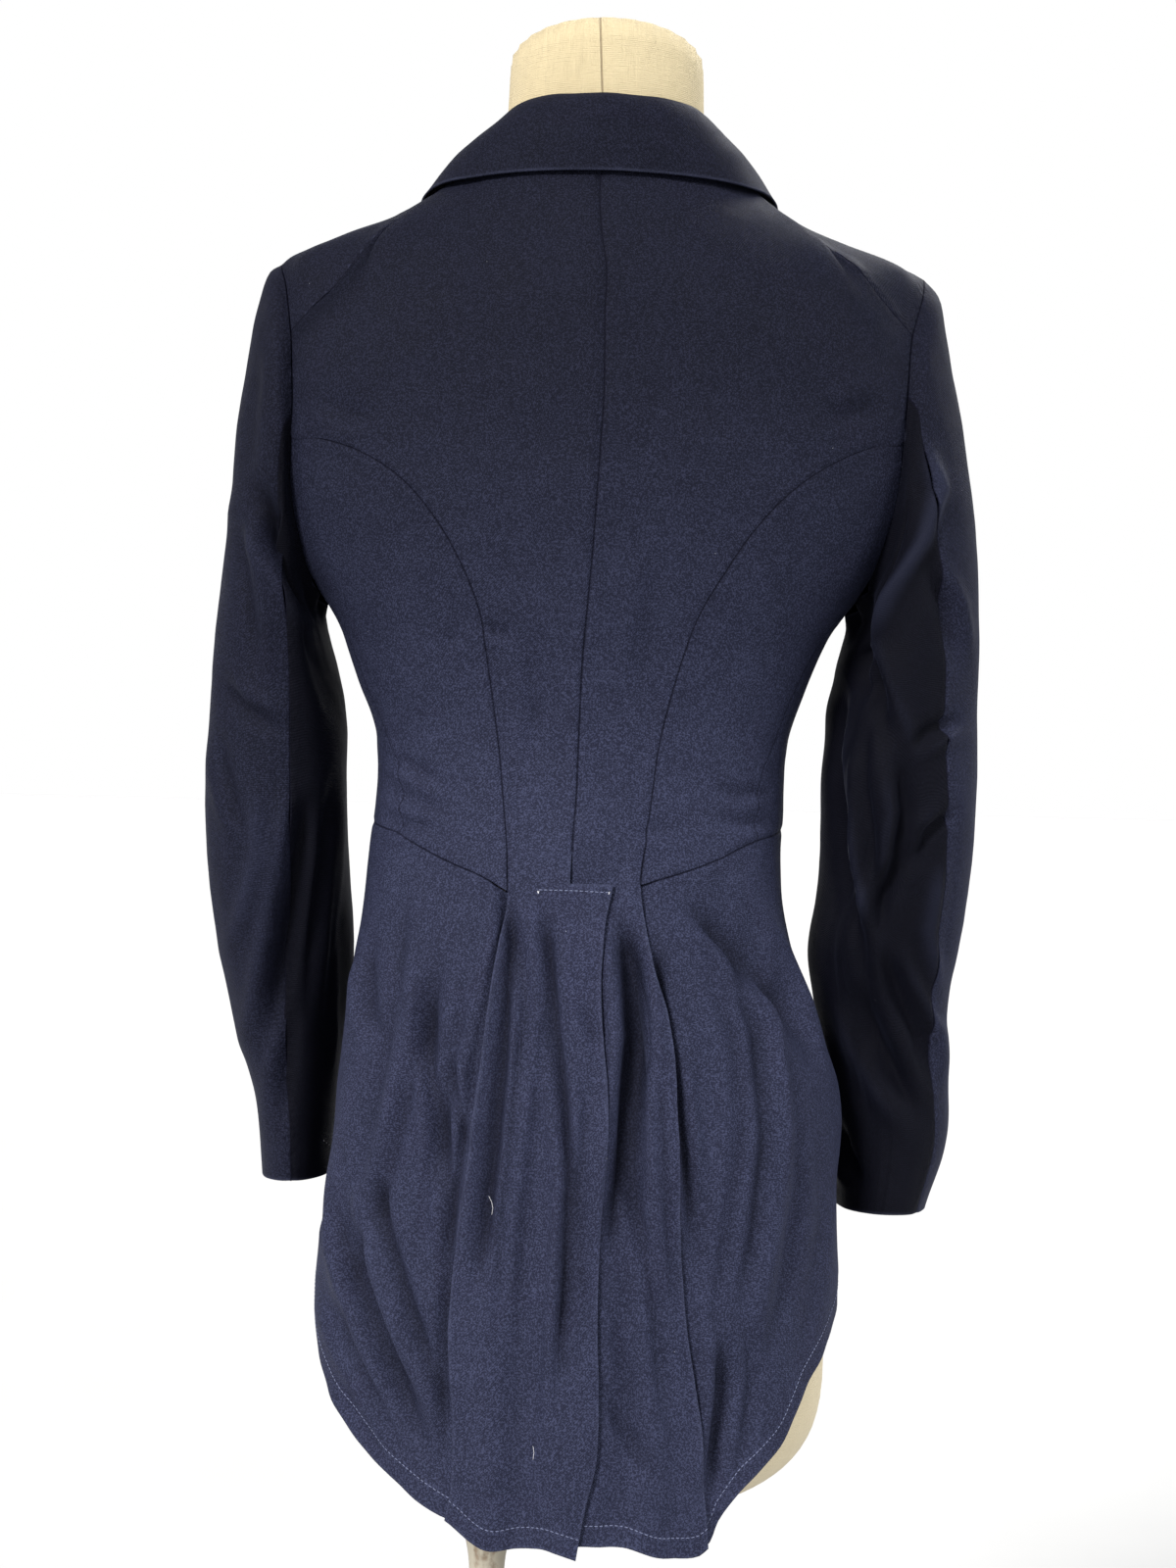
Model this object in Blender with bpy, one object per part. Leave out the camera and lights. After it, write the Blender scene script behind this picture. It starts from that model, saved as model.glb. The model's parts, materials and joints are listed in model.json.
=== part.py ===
"""A tailcoat of thin cloth on a limbless dress form that stands on one turned post.

Units are metres, +Z is up and the coat's front faces -Y, so the wearer's left is +X.
The origin lies on the floor under the middle of the form, on the underside of the round base.
Every place on the coat is given by an angle round the body, in degrees from the centre back
(positive to the wearer's left, 180 at the centre front), and a height above the floor.
"""

import math

import bmesh
import bpy
import mathutils
import numpy as np

for item in list(bpy.data.objects):
    bpy.data.objects.remove(item, do_unlink=True)

# ---------------------------------------------------------------- driving sizes
WALL = 0.0016              # cloth with its turned-in edges
SEAM_GAP = 0.0004          # between two pieces that are sewn together
LAP_DROP = 0.0034          # how far a piece that runs under another one lies below it
LAP_RAMP = 0.009           # width of the slope down to that depth
FRONT_LAP_EARLY = 9.0      # degrees before the right front's edge at which the left one is down
ARM_GAP = 0.0005           # between the armhole and the sleeve
LAPEL_LIFT = 0.0028        # lapels lie this far out from the front under them
FALL_LIFT = 0.0032         # and the collar fall this far

WAIST_STEP = 0.9435        # top of the lapped vent at the centre back
YOKE_HEIGHT = 1.245        # where the back's rows begin to bend up over the shoulder
CHEST_HEIGHT = 1.135       # where the front's rows reach from the armhole's foot
VENT_RISE = 0.010          # the right back slopes down under the vent over this height
PLEAT_TUCK_TOP = 0.004     # how far a skirt runs under the tail at the waist
PLEAT_TUCK_LOW = 0.014     # and lower down
PLEAT_TUCK_LENGTH = 0.080
PLEAT_TURN = 0.45          # an extra column this far into the skirt's first one

FRONT_MIDDLE = -180.0      # the centre front, as an angle on the right front
ANGLE_STEP = 1.0           # degrees and metres by which slopes on the surface are measured
HEIGHT_STEP = 0.002
SHARP_ANGLE = math.radians(40.0)
MERGE_DISTANCE = 1e-5
TINY = 1e-9                # keeps a length from being divided by nothing
CURVE_SAMPLES = 200        # points at which a curve is measured

# How finely each seam is divided. Neighbours share the points of their seam.
TAIL_ROWS = 16
SEAM_ROWS = 12
ARM_BACK_STEPS = 5
ARM_SIDE_STEPS = 5
ARM_FRONT_STEPS = 11
SHOULDER_STEPS = 8
NECK_BACK_STEPS = 3
NECK_FRONT_STEPS = 2
FLAP_STEPS = 2
BEND_FADE = 4              # how steeply the bend of a panel's end dies out along it
SKIRT_BEND_FADE = 1        # a skirt's slanting hem is felt all the way up
SLEEVE_STEPS = ARM_BACK_STEPS + ARM_SIDE_STEPS + ARM_FRONT_STEPS
ARM_SHAPE_ROWS = 6         # the armhole's shape dies out over these rows of the sleeve
ARM_TURN_ROWS = 11         # and the uneven spacing of its points over these

# ---------------------------------------------------------------- the coat's form
# height, half width, depth behind, depth in front, shift to the left, squareness behind, in front
BODY_RINGS = (
    (0.530, 0.153, 0.137, 0.134, 0.002, 2.15, 2.10),
    (0.600, 0.1545, 0.136, 0.134, 0.002, 2.15, 2.10),
    (0.650, 0.1562, 0.134, 0.134, 0.0025, 2.15, 2.10),
    (0.700, 0.1557, 0.132, 0.133, 0.0045, 2.15, 2.10),
    (0.750, 0.1530, 0.130, 0.132, 0.0025, 2.15, 2.10),
    (0.800, 0.151, 0.127, 0.130, -0.001, 2.15, 2.10),
    (0.860, 0.141, 0.120, 0.124, 0.003, 2.15, 2.10),
    (0.900, 0.131, 0.110, 0.116, 0.0085, 2.15, 2.10),
    (0.930, 0.1268, 0.101, 0.108, 0.009, 2.15, 2.10),
    (0.960, 0.1242, 0.094, 0.101, 0.008, 2.20, 2.15),
    (1.000, 0.1228, 0.088, 0.097, 0.006, 2.25, 2.20),
    (1.025, 0.1242, 0.087, 0.099, 0.006, 2.30, 2.20),
    (1.060, 0.1355, 0.090, 0.108, 0.007, 2.40, 2.20),
    (1.090, 0.1475, 0.095, 0.119, 0.006, 2.45, 2.15),
    (1.110, 0.160, 0.098, 0.125, 0.005, 2.50, 2.10),
    (1.130, 0.174, 0.101, 0.128, 0.004, 2.50, 2.05),
    (1.180, 0.194, 0.105, 0.127, 0.002, 2.50, 2.00),
    (1.230, 0.199, 0.104, 0.118, 0.000, 2.40, 1.90),
    (1.270, 0.200, 0.099, 0.104, 0.000, 2.20, 1.80),
    (1.295, 0.199, 0.093, 0.090, -0.001, 2.05, 1.70),
    (1.310, 0.194, 0.088, 0.080, 0.0005, 1.95, 1.60),
    (1.320, 0.172, 0.084, 0.073, 0.003, 1.95, 1.60),
    (1.330, 0.1415, 0.080, 0.066, 0.004, 2.00, 1.70),
    (1.345, 0.114, 0.074, 0.056, 0.003, 2.00, 1.85),
    (1.360, 0.093, 0.069, 0.047, 0.002, 2.00, 2.00),
    (1.375, 0.076, 0.063, 0.040, 0.001, 2.00, 2.00),
)

# height, angle: the seams, with the angles of a right-hand seam counted to the right
CENTRE_SEAM = {
    "left": ((0.943, 0.7), (1.000, 0.6), (1.060, 0.0), (1.140, -0.2), (1.260, -0.3), (1.362, -0.4)),
    "right": ((0.943, -0.7), (1.000, -0.6), (1.060, 0.0), (1.140, 0.2), (1.260, 0.3), (1.362, 0.4)),
}
TAIL_CENTRE = {
    "left": ((0.577, 4.7), (0.750, 1.8), (0.943, 0.7)),
    "right": ((0.578, -0.5), (0.750, -0.6), (0.943, -0.7)),
}
# the free edge of the vent's flap on the left back, and that of the underlap on the right back
VENT = {
    "left": (
        (0.571, -0.5), (0.593, -1.8), (0.623, -4.0), (0.680, -4.6), (0.780, -4.0),
        (0.862, -4.3), (0.890, -5.7), (0.925, -7.5), (0.943, -8.9),
    ),
    "right": ((0.580, -5.0), (0.750, -6.5), (0.943, -8.6)),
}
PRINCESS = {
    "left": (
        (0.938, 15.8), (0.962, 16.6), (1.000, 19.2), (1.030, 19.8), (1.064, 18.9), (1.100, 18.8),
        (1.127, 20.5), (1.155, 25.0), (1.171, 29.5), (1.184, 36.0), (1.193, 46.0), (1.199, 59.0),
    ),
    "right": (
        (0.943, 16.0), (0.978, 16.7), (1.023, 18.0), (1.062, 19.7), (1.095, 20.6),
        (1.128, 23.0), (1.154, 27.2), (1.175, 33.5), (1.190, 42.5), (1.199, 52.0), (1.203, 60.0),
    ),
}
PLEAT = {
    "left": (
        (0.588, 25.7), (0.619, 23.8), (0.692, 24.5), (0.761, 23.9),
        (0.811, 22.8), (0.856, 20.6), (0.900, 17.2), (0.938, 15.8),
    ),
    "right": (
        (0.575, 28.4), (0.621, 26.5), (0.683, 23.8), (0.758, 20.4),
        (0.809, 18.7), (0.868, 20.2), (0.897, 18.8), (0.943, 16.0),
    ),
}
SIDE_SEAM = {
    "left": ((0.969, 56.0), (1.003, 59.0), (1.031, 69.0), (1.065, 73.0), (1.090, 76.0)),
    "right": ((0.969, 57.0), (1.005, 58.5), (1.029, 66.0), (1.060, 69.0), (1.090, 73.0)),
}
SHOULDER_SEAM = {
    "left": ((1.276, 56.5), (1.290, 50.0), (1.307, 47.0), (1.322, 50.0), (1.337, 60.0)),
    "right": ((1.282, 56.5), (1.294, 51.5), (1.308, 49.0), (1.322, 51.0), (1.337, 60.0)),
}
NECK_END = (1.370, 78.0)
NECK_SIDE = (1.371, 100.0)
WAIST_SEAM_BACK = {
    "left": ((0.938, 15.8), (0.947, 24.2), (0.953, 33.0), (0.962, 46.0), (0.969, 56.0)),
    "right": ((0.943, 16.0), (0.950, 27.3), (0.959, 41.3), (0.966, 51.0), (0.969, 57.0)),
}
WAIST_SEAM_FRONT = ((0.969, 56.5), (0.975, 90.0), (0.974, 130.0), (0.968, 190.0))
# angle, height: lower edges
HEM = {
    "left": (
        (-0.5, 0.571), (4.7, 0.577), (10.0, 0.576), (15.5, 0.574), (18.6, 0.577), (25.7, 0.588),
        (29.0, 0.592), (35.0, 0.598), (43.0, 0.609), (52.0, 0.620), (62.0, 0.635), (76.0, 0.661),
        (92.0, 0.700), (110.0, 0.748), (130.0, 0.812), (150.0, 0.872), (168.0, 0.915), (180.0, 0.932),
        (190.0, 0.938),
    ),
    "right": (
        (-5.0, 0.580), (-0.5, 0.578), (9.0, 0.578), (18.6, 0.571), (24.7, 0.570), (28.4, 0.575),
        (31.0, 0.592), (36.0, 0.603), (42.5, 0.611), (49.0, 0.628), (57.0, 0.650), (72.0, 0.672),
        (92.0, 0.705), (110.0, 0.750), (130.0, 0.812), (150.0, 0.872), (168.0, 0.915), (180.0, 0.932),
        (190.0, 0.938),
    ),
}
# height, angle: the buttoned edge and the roll of the lapel up to the side of the neck
FRONT_EDGE = (
    (0.968, 190.0), (1.050, 189.0), (1.125, 188.0), (1.180, 177.0), (1.250, 168.0),
    (1.310, 157.0), (1.345, 139.0), (1.360, 125.0), (1.371, 100.0),
)
# angle, height: the row of the front that passes under the armhole
CHEST_ROW = ((97.0, 1.093), (125.0, 1.104))
SKIRT_FRONT_EDGE = ((0.938, 190.0), (0.968, 190.0))
# height, angle: a lapel's roll, its outer edge up to its point, and its top with the notch
LAPEL_ROLL = {
    "left": ((1.190, 174.5), (1.250, 168.5), (1.310, 157.5), (1.341, 141.0)),
    "right": ((1.135, 186.0), (1.180, 177.0), (1.250, 168.5), (1.310, 157.5), (1.341, 141.0)),
}
LAPEL_EDGE = {
    "left": ((1.190, 172.5), (1.215, 161.0), (1.250, 151.0), (1.285, 142.0), (1.308, 138.0)),
    "right": ((1.135, 184.0), (1.165, 173.0), (1.205, 161.0), (1.250, 150.0), (1.285, 142.0), (1.308, 138.0)),
}
LAPEL_NOTCH = (1.333, 135.5)
LAPEL_ROWS = 10

# the armhole, seen from the side: an egg-shaped loop, with its angles counted from the top to the back
ARM_MIDDLE_HEIGHT = 1.2085
ARM_HALF_HEIGHT = 0.1025
ARM_MIDDLE_Y = -0.002
ARM_REACH_BACK = 0.058
ARM_REACH_FRONT = 0.060
ARM_AT_SHOULDER_SEAM = {"left": 58.5, "right": 54.5}
ARM_AT_PRINCESS = {"left": 95.5, "right": 93.0}
ARM_AT_SIDE_SEAM = {"left": 160.0, "right": 158.0}

# outer x, outer z, inner x, inner z, middle y, half depth, angle of the hind seam; armhole first
SLEEVES = {
    "left": (
        (0.1970, 1.3110, 0.1660, 1.1060, -0.002, 0.0570, 95.0),
        (0.2027, 1.3060, 0.1662, 1.0980, -0.002, 0.0630, 98.0),
        (0.2072, 1.2880, 0.1650, 1.0900, -0.002, 0.0655, 102.0),
        (0.2125, 1.2560, 0.1625, 1.0820, -0.002, 0.0665, 106.0),
        (0.2175, 1.2180, 0.1592, 1.0740, -0.003, 0.0660, 110.0),
        (0.2200, 1.1780, 0.1552, 1.0640, -0.003, 0.0650, 112.0),
        (0.2243, 1.1380, 0.1516, 1.0500, -0.004, 0.0637, 113.0),
        (0.2285, 1.0940, 0.1502, 1.0300, -0.005, 0.0618, 113.0),
        (0.2320, 1.0480, 0.1505, 1.0060, -0.008, 0.0600, 112.0),
        (0.2347, 1.0000, 0.1498, 0.9760, -0.012, 0.0575, 110.0),
        (0.2337, 0.9580, 0.1480, 0.9420, -0.019, 0.0560, 106.0),
        (0.2305, 0.9180, 0.1450, 0.9060, -0.028, 0.0550, 100.0),
        (0.2245, 0.8780, 0.1455, 0.8680, -0.037, 0.0540, 96.0),
        (0.2160, 0.8380, 0.1510, 0.8300, -0.045, 0.0530, 93.0),
        (0.2042, 0.8010, 0.1550, 0.7940, -0.050, 0.0520, 92.0),
        (0.1990, 0.7540, 0.1570, 0.7550, -0.053, 0.0510, 92.0),
    ),
    "right": (
        (0.1980, 1.3100, 0.1620, 1.1060, -0.002, 0.0570, 92.0),
        (0.2060, 1.3000, 0.1600, 1.0980, -0.002, 0.0630, 88.0),
        (0.2105, 1.2780, 0.1565, 1.0900, -0.002, 0.0655, 82.0),
        (0.2152, 1.2500, 0.1525, 1.0820, -0.002, 0.0665, 75.0),
        (0.2203, 1.2180, 0.1490, 1.0740, -0.003, 0.0660, 69.0),
        (0.2255, 1.1840, 0.1465, 1.0640, -0.003, 0.0650, 65.0),
        (0.2312, 1.1440, 0.1427, 1.0500, -0.004, 0.0637, 62.0),
        (0.2330, 1.0980, 0.1418, 1.0300, -0.005, 0.0618, 61.0),
        (0.2330, 1.0480, 0.1398, 1.0060, -0.008, 0.0600, 61.0),
        (0.2350, 0.9980, 0.1403, 0.9760, -0.012, 0.0590, 61.0),
        (0.2340, 0.9520, 0.1402, 0.9400, -0.019, 0.0575, 60.0),
        (0.2292, 0.9080, 0.1360, 0.9000, -0.028, 0.0560, 57.0),
        (0.2237, 0.8700, 0.1420, 0.8640, -0.037, 0.0545, 54.0),
        (0.2260, 0.8260, 0.1500, 0.8220, -0.045, 0.0530, 52.0),
        (0.2275, 0.7860, 0.1550, 0.7820, -0.050, 0.0520, 50.0),
        (0.2145, 0.7420, 0.1580, 0.7420, -0.052, 0.0510, 50.0),
    ),
}
SLEEVE_SQUARENESS = 2.2
HIND_STEP = {"left": 4, "right": 3}   # the ring point that carries the hind seam
FORE_STEP = 12                        # and the one that carries the seam under the arm

# the folds that are deep enough to shape the wall
# piece, top angle, top height, bottom angle, bottom height, width, height of the ridge (a trough is below 0)
FOLDS = (
    ("back_left", 9.5, 0.935, 9.5, 0.545, 0.018, -0.0050),
    ("back_left", 13.0, 0.930, 16.0, 0.545, 0.018, 0.0030),
    ("back_left", 3.5, 0.930, 3.0, 0.545, 0.016, 0.0030),
    ("back_right", -12.0, 0.925, -7.5, 0.545, 0.018, -0.0060),
    ("back_right", -14.5, 0.900, -15.0, 0.545, 0.020, 0.0030),
    ("back_right", -18.0, 0.750, -22.0, 0.545, 0.018, -0.0030),
    ("skirt_left", 38.0, 0.900, 30.0, 0.700, 0.022, -0.0050),
    ("skirt_left", 62.0, 0.770, 27.0, 0.600, 0.024, -0.0070),
    ("skirt_left", 84.0, 0.760, 40.0, 0.590, 0.026, -0.0050),
    ("skirt_left", 70.0, 0.930, 66.0, 0.640, 0.030, 0.0050),
    ("skirt_left", 120.0, 0.960, 104.0, 0.700, 0.030, 0.0060),
    ("skirt_left", 142.0, 0.960, 124.0, 0.760, 0.026, -0.0040),
    ("skirt_right", -25.0, 0.900, -27.5, 0.700, 0.016, -0.0060),
    ("skirt_right", -38.0, 0.950, -78.0, 0.830, 0.026, -0.0050),
    ("skirt_right", -44.0, 0.850, -38.0, 0.700, 0.022, 0.0030),
    ("skirt_right", -56.0, 0.830, -50.0, 0.640, 0.024, -0.0030),
    ("skirt_right", -33.0, 0.680, -31.0, 0.570, 0.016, -0.0060),
    ("skirt_right", -84.0, 0.930, -82.0, 0.660, 0.030, 0.0050),
    ("skirt_right", -120.0, 0.960, -106.0, 0.700, 0.030, 0.0060),
    ("skirt_right", -142.0, 0.960, -124.0, 0.760, 0.026, -0.0040),
)
FOLD_FADE = 0.16                      # share of a fold's length over which it dies away
FOLD_RADIUS = 0.125                   # turns an angle into a distance round the skirt

# sleeve, angle round the sleeve, share of its length, reach round, reach along, height of the ridge
SLEEVE_FOLDS = (
    ("left", 150.0, 0.36, 30.0, 0.10, -0.0090),
    ("left", 128.0, 0.66, 26.0, 0.09, 0.0060),
    ("left", 150.0, 0.76, 24.0, 0.10, -0.0080),
    ("left", 60.0, 0.52, 26.0, 0.06, -0.0040),
    ("right", 145.0, 0.36, 28.0, 0.12, -0.0100),
    ("right", 118.0, 0.56, 26.0, 0.12, 0.0070),
    ("right", 150.0, 0.62, 26.0, 0.14, -0.0100),
    ("right", 120.0, 0.86, 26.0, 0.10, -0.0060),
    ("right", 48.0, 0.50, 26.0, 0.06, -0.0040),
)

# angle, height of the neck seam; x, y, z of the roll; angle, height of the fall's edge
COLLAR = (
    (0.0, 1.3620, 0.0000, 0.0620, 1.4010, 0.0, 1.3535),
    (26.0, 1.3630, 0.0290, 0.0560, 1.4010, 25.0, 1.3530),
    (52.0, 1.3660, 0.0495, 0.0390, 1.4000, 51.0, 1.3520),
    (78.0, 1.3700, 0.0620, 0.0130, 1.3945, 76.0, 1.3520),
    (100.0, 1.3710, 0.0675, -0.0120, 1.3840, 97.0, 1.3490),
    (125.0, 1.3600, 0.0710, -0.0310, 1.3665, 112.0, 1.3410),
    (139.0, 1.3460, 0.0730, -0.0455, 1.3500, 124.0, 1.3340),
)
COLLAR_STEPS = 12                     # rows from the centre back to a front end
COLLAR_FOOT = 0.0013                  # the stand starts this far above the neck seam
COLLAR_ROLL_RADIUS = 0.0030
COLLAR_ROLL_SHARE = 0.4                # and no more than this share of the stand's height
COLLAR_LEAN = 0.3                      # how far the fall's direction follows the roll's place
COLLAR_BELLY = 0.0030                 # how far the fall rounds out between its roll and its edge

BUTTON_HEIGHTS = (1.108, 1.048, 0.990)
BUTTON_RADIUS = 0.0095
BUTTON_THICKNESS = 0.0034
BUTTON_SIDES = 20
BUTTON_GAP = 0.0004
# share of the radius, share of the thickness: a button's turned profile, with its dished face
BUTTON_PROFILE = (
    (0.0, 0.0), (0.86, 0.0), (1.0, 0.35), (0.97, 0.85), (0.86, 1.0), (0.66, 0.72), (0.0, 0.66),
)

# ---------------------------------------------------------------- the dress form and its stand
# height, half width, depth behind, depth in front, shift to the left, squareness
FORM_RINGS = (
    (0.5760, 0.090, 0.074, 0.080, -0.003, 2.1),
    (0.5815, 0.104, 0.085, 0.092, -0.003, 2.1),
    (0.5920, 0.1225, 0.099, 0.107, -0.004, 2.1),
    (0.6100, 0.139, 0.108, 0.117, -0.004, 2.1),
    (0.6400, 0.148, 0.114, 0.121, -0.003, 2.1),
    (0.7000, 0.147, 0.115, 0.120, -0.001, 2.1),
    (0.7600, 0.142, 0.114, 0.118, 0.000, 2.1),
    (0.8200, 0.136, 0.109, 0.114, 0.000, 2.1),
    (0.8700, 0.126, 0.101, 0.106, 0.003, 2.1),
    (0.9200, 0.115, 0.089, 0.096, 0.006, 2.1),
    (0.9600, 0.110, 0.081, 0.089, 0.007, 2.1),
    (1.0100, 0.109, 0.076, 0.085, 0.006, 2.1),
    (1.0500, 0.118, 0.078, 0.092, 0.006, 2.1),
    (1.0900, 0.134, 0.083, 0.107, 0.005, 2.1),
    (1.1400, 0.147, 0.090, 0.114, 0.003, 2.1),
    (1.1900, 0.155, 0.094, 0.112, 0.002, 2.1),
    (1.2400, 0.160, 0.092, 0.100, 0.000, 2.0),
    (1.2750, 0.162, 0.087, 0.088, 0.000, 2.0),
    (1.3000, 0.155, 0.080, 0.074, 0.000, 1.8),
    (1.3130, 0.138, 0.075, 0.064, 0.000, 1.7),
    (1.3240, 0.116, 0.070, 0.057, 0.001, 1.7),
    (1.3380, 0.094, 0.063, 0.052, 0.001, 1.9),
    (1.3540, 0.073, 0.056, 0.052, 0.001, 2.0),
    (1.3720, 0.0625, 0.0535, 0.055, 0.001, 2.0),
    (1.3950, 0.0600, 0.0530, 0.058, 0.000, 2.0),
    (1.4360, 0.0590, 0.0530, 0.059, 0.000, 2.0),
)
FORM_SIDES = 28
NECK_SLANT = 0.29                     # rise of the neck's top rim towards the back
NECK_SLANT_FROM = 1.395               # the rings above this height take up the slant
POST_X = 0.0525
# radius, height: turned profiles round the post's axis, from the bottom up
FLANGE_PROFILE = (
    (0.0, 0.5640), (0.034, 0.5640), (0.037, 0.5660), (0.037, 0.5740), (0.034, 0.5757), (0.0, 0.5757),
)
POST_PROFILE = (
    (0.0, 0.0303), (0.0170, 0.0303), (0.0170, 0.0500), (0.0125, 0.0600), (0.0150, 0.0700), (0.0110, 0.0820),
    (0.0105, 0.2700), (0.0125, 0.3000), (0.0105, 0.3300), (0.0103, 0.5150), (0.0110, 0.5300),
    (0.0150, 0.5480), (0.0190, 0.5560), (0.0190, 0.5637), (0.0, 0.5637),
)
BASE_PROFILE = (
    (0.0, 0.0000), (0.168, 0.0000), (0.172, 0.0040), (0.172, 0.0120), (0.164, 0.0190), (0.120, 0.0230),
    (0.040, 0.0260), (0.034, 0.0300), (0.0, 0.0300),
)
POST_SIDES = 20
BASE_SIDES = 56

# ---------------------------------------------------------------- materials
CLOTH_COLOUR = (0.035, 0.035, 0.062)
BUTTON_COLOUR = (0.020, 0.020, 0.030)
LINEN_COLOUR = (0.760, 0.660, 0.450)
PAINT_COLOUR = (0.430, 0.370, 0.280)


def material(name, colour, roughness, metallic=0.0):
    """A Principled material of one colour."""
    made = bpy.data.materials.new(name)
    made.use_nodes = True
    shader = made.node_tree.nodes["Principled BSDF"]
    shader.inputs["Base Color"].default_value = (*colour, 1.0)
    shader.inputs["Roughness"].default_value = roughness
    shader.inputs["Metallic"].default_value = metallic
    return made


# ---------------------------------------------------------------- smooth tables
def smooth_table(rows, where):
    """Reads a table at the given places, on a smooth curve through its rows that never overshoots."""
    table = np.array(rows, float)
    key, columns = table[:, 0], table[:, 1:]
    step = np.diff(key)
    rise = np.diff(columns, axis=0) / step[:, None]
    slope = np.zeros_like(columns)
    slope[0], slope[-1] = rise[0], rise[-1]
    for k in range(1, len(key) - 1):
        before, after = 2 * step[k] + step[k - 1], step[k] + 2 * step[k - 1]
        same_way = rise[k - 1] * rise[k] > 0
        safe_before = np.where(same_way, rise[k - 1], 1.0)
        safe_after = np.where(same_way, rise[k], 1.0)
        mean = (before + after) / (before / safe_before + after / safe_after)
        slope[k] = np.where(same_way, mean, 0.0)
    where = np.clip(np.asarray(where, float), key[0], key[-1])
    k = np.clip(np.searchsorted(key, where) - 1, 0, len(key) - 2)
    t = ((where - key[k]) / step[k])[..., None]
    span = step[k][..., None]
    return (
        (2 * t**3 - 3 * t**2 + 1) * columns[k]
        + (t**3 - 2 * t**2 + t) * span * slope[k]
        + (3 * t**2 - 2 * t**3) * columns[k + 1]
        + (t**3 - t**2) * span * slope[k + 1]
    )


def ease(value):
    """0 below 0, 1 above 1, and a smooth step between."""
    value = np.clip(value, 0.0, 1.0)
    return value * value * (3 - 2 * value)


def even_points(points, count, radius=FOLD_RADIUS):
    """Divides a curve of (angle, height) points into equal lengths."""
    points = np.array(points, float)
    flat = points * (math.radians(1.0) * radius, 1.0)
    length = np.concatenate([[0.0], np.cumsum(np.linalg.norm(np.diff(flat, axis=0), axis=1))])
    fine = smooth_table(np.column_stack([length, points]), np.linspace(0.0, length[-1], CURVE_SAMPLES))
    flat = fine * (math.radians(1.0) * radius, 1.0)
    length = np.concatenate([[0.0], np.cumsum(np.linalg.norm(np.diff(flat, axis=0), axis=1))])
    even = np.linspace(0.0, length[-1], count + 1)
    return np.column_stack([np.interp(even, length, fine[:, k]) for k in (0, 1)])


def angle_of(rows, height):
    """The angle of a seam at a height."""
    return smooth_table(rows, height)[..., 0]


# ---------------------------------------------------------------- the coat's surface
def body_point(angle, height):
    """The coat's outer surface at an angle, in degrees, and a height."""
    turn = np.radians(angle)
    ring = smooth_table(BODY_RINGS, height)
    half, behind, before, shift, square_behind, square_before = np.moveaxis(ring, -1, 0)
    facing_back = np.cos(turn) >= 0
    power = 2 / np.where(facing_back, square_behind, square_before)
    depth = np.where(facing_back, behind, before)
    x = shift + half * np.sign(np.sin(turn)) * np.abs(np.sin(turn)) ** power
    y = depth * np.sign(np.cos(turn)) * np.abs(np.cos(turn)) ** power
    return np.stack([x, y, height + 0 * x], -1)


def unit(vectors):
    """Directions of length one."""
    return vectors / np.maximum(np.linalg.norm(vectors, axis=-1, keepdims=True), TINY)


def body_normal(angle, height):
    """The direction straight out of the cloth."""
    across = body_point(angle + ANGLE_STEP, height) - body_point(angle - ANGLE_STEP, height)
    up = body_point(angle, height + HEIGHT_STEP) - body_point(angle, height - HEIGHT_STEP)
    return unit(np.cross(up, across))


def angle_at_depth(y, height):
    """The angle, from 0 to 180, at which the coat's surface has a given y."""
    ring = smooth_table(BODY_RINGS, height)
    behind, before = ring[..., 1], ring[..., 2]
    square = np.where(y >= 0, ring[..., 4], ring[..., 5])
    share = np.clip(np.abs(y) / np.where(y >= 0, behind, before), 0.0, 1.0) ** (square / 2)
    return np.degrees(np.arccos(np.sign(y) * share))


def armhole(turns):
    """Points (angle, height) of the armhole loop, at turns in degrees from its top to the back."""
    turn = np.radians(turns)
    height = ARM_MIDDLE_HEIGHT + ARM_HALF_HEIGHT * np.cos(turn)
    reach = np.where(np.sin(turn) >= 0, ARM_REACH_BACK, ARM_REACH_FRONT)
    y = ARM_MIDDLE_Y + reach * np.sin(turn)
    return np.column_stack([angle_at_depth(y, height), height])


def arm_turns(side):
    """The turns at which the armhole is divided: back, side back, then round the front."""
    shoulder, princess = ARM_AT_SHOULDER_SEAM[side], ARM_AT_PRINCESS[side]
    under = ARM_AT_SIDE_SEAM[side]
    return np.concatenate([
        np.linspace(shoulder, princess, ARM_BACK_STEPS + 1)[:-1],
        np.linspace(princess, under, ARM_SIDE_STEPS + 1)[:-1],
        np.linspace(under, shoulder + 360.0, ARM_FRONT_STEPS + 1),
    ])


# ---------------------------------------------------------------- panels of cloth
def patch(bottom, top, inner, outer, fade=BEND_FADE):
    """Fills the space between four edges; bottom and top run from inner to outer, the others upwards.

    Rows run straight across, but for the bends of the bottom and the top, which die out beside them.
    """
    across = np.linspace(0.0, 1.0, len(bottom))[:, None]
    up = np.linspace(0.0, 1.0, len(inner))[:, None, None]
    bottom_bend = bottom - (1 - across) * bottom[0] - across * bottom[-1]
    top_bend = top - (1 - across) * top[0] - across * top[-1]
    straight = (1 - across) * inner[:, None] + across * outer[:, None]
    return straight + (1 - up) ** fade * bottom_bend + up**fade * top_bend


def block(bottom, top, inner, outer):
    """A patch whose top row, where none is given, runs straight from the inner to the outer edge."""
    if top is None:
        top = np.linspace(inner[-1], outer[-1], len(bottom))
    return patch(bottom, top, inner, outer)


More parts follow.
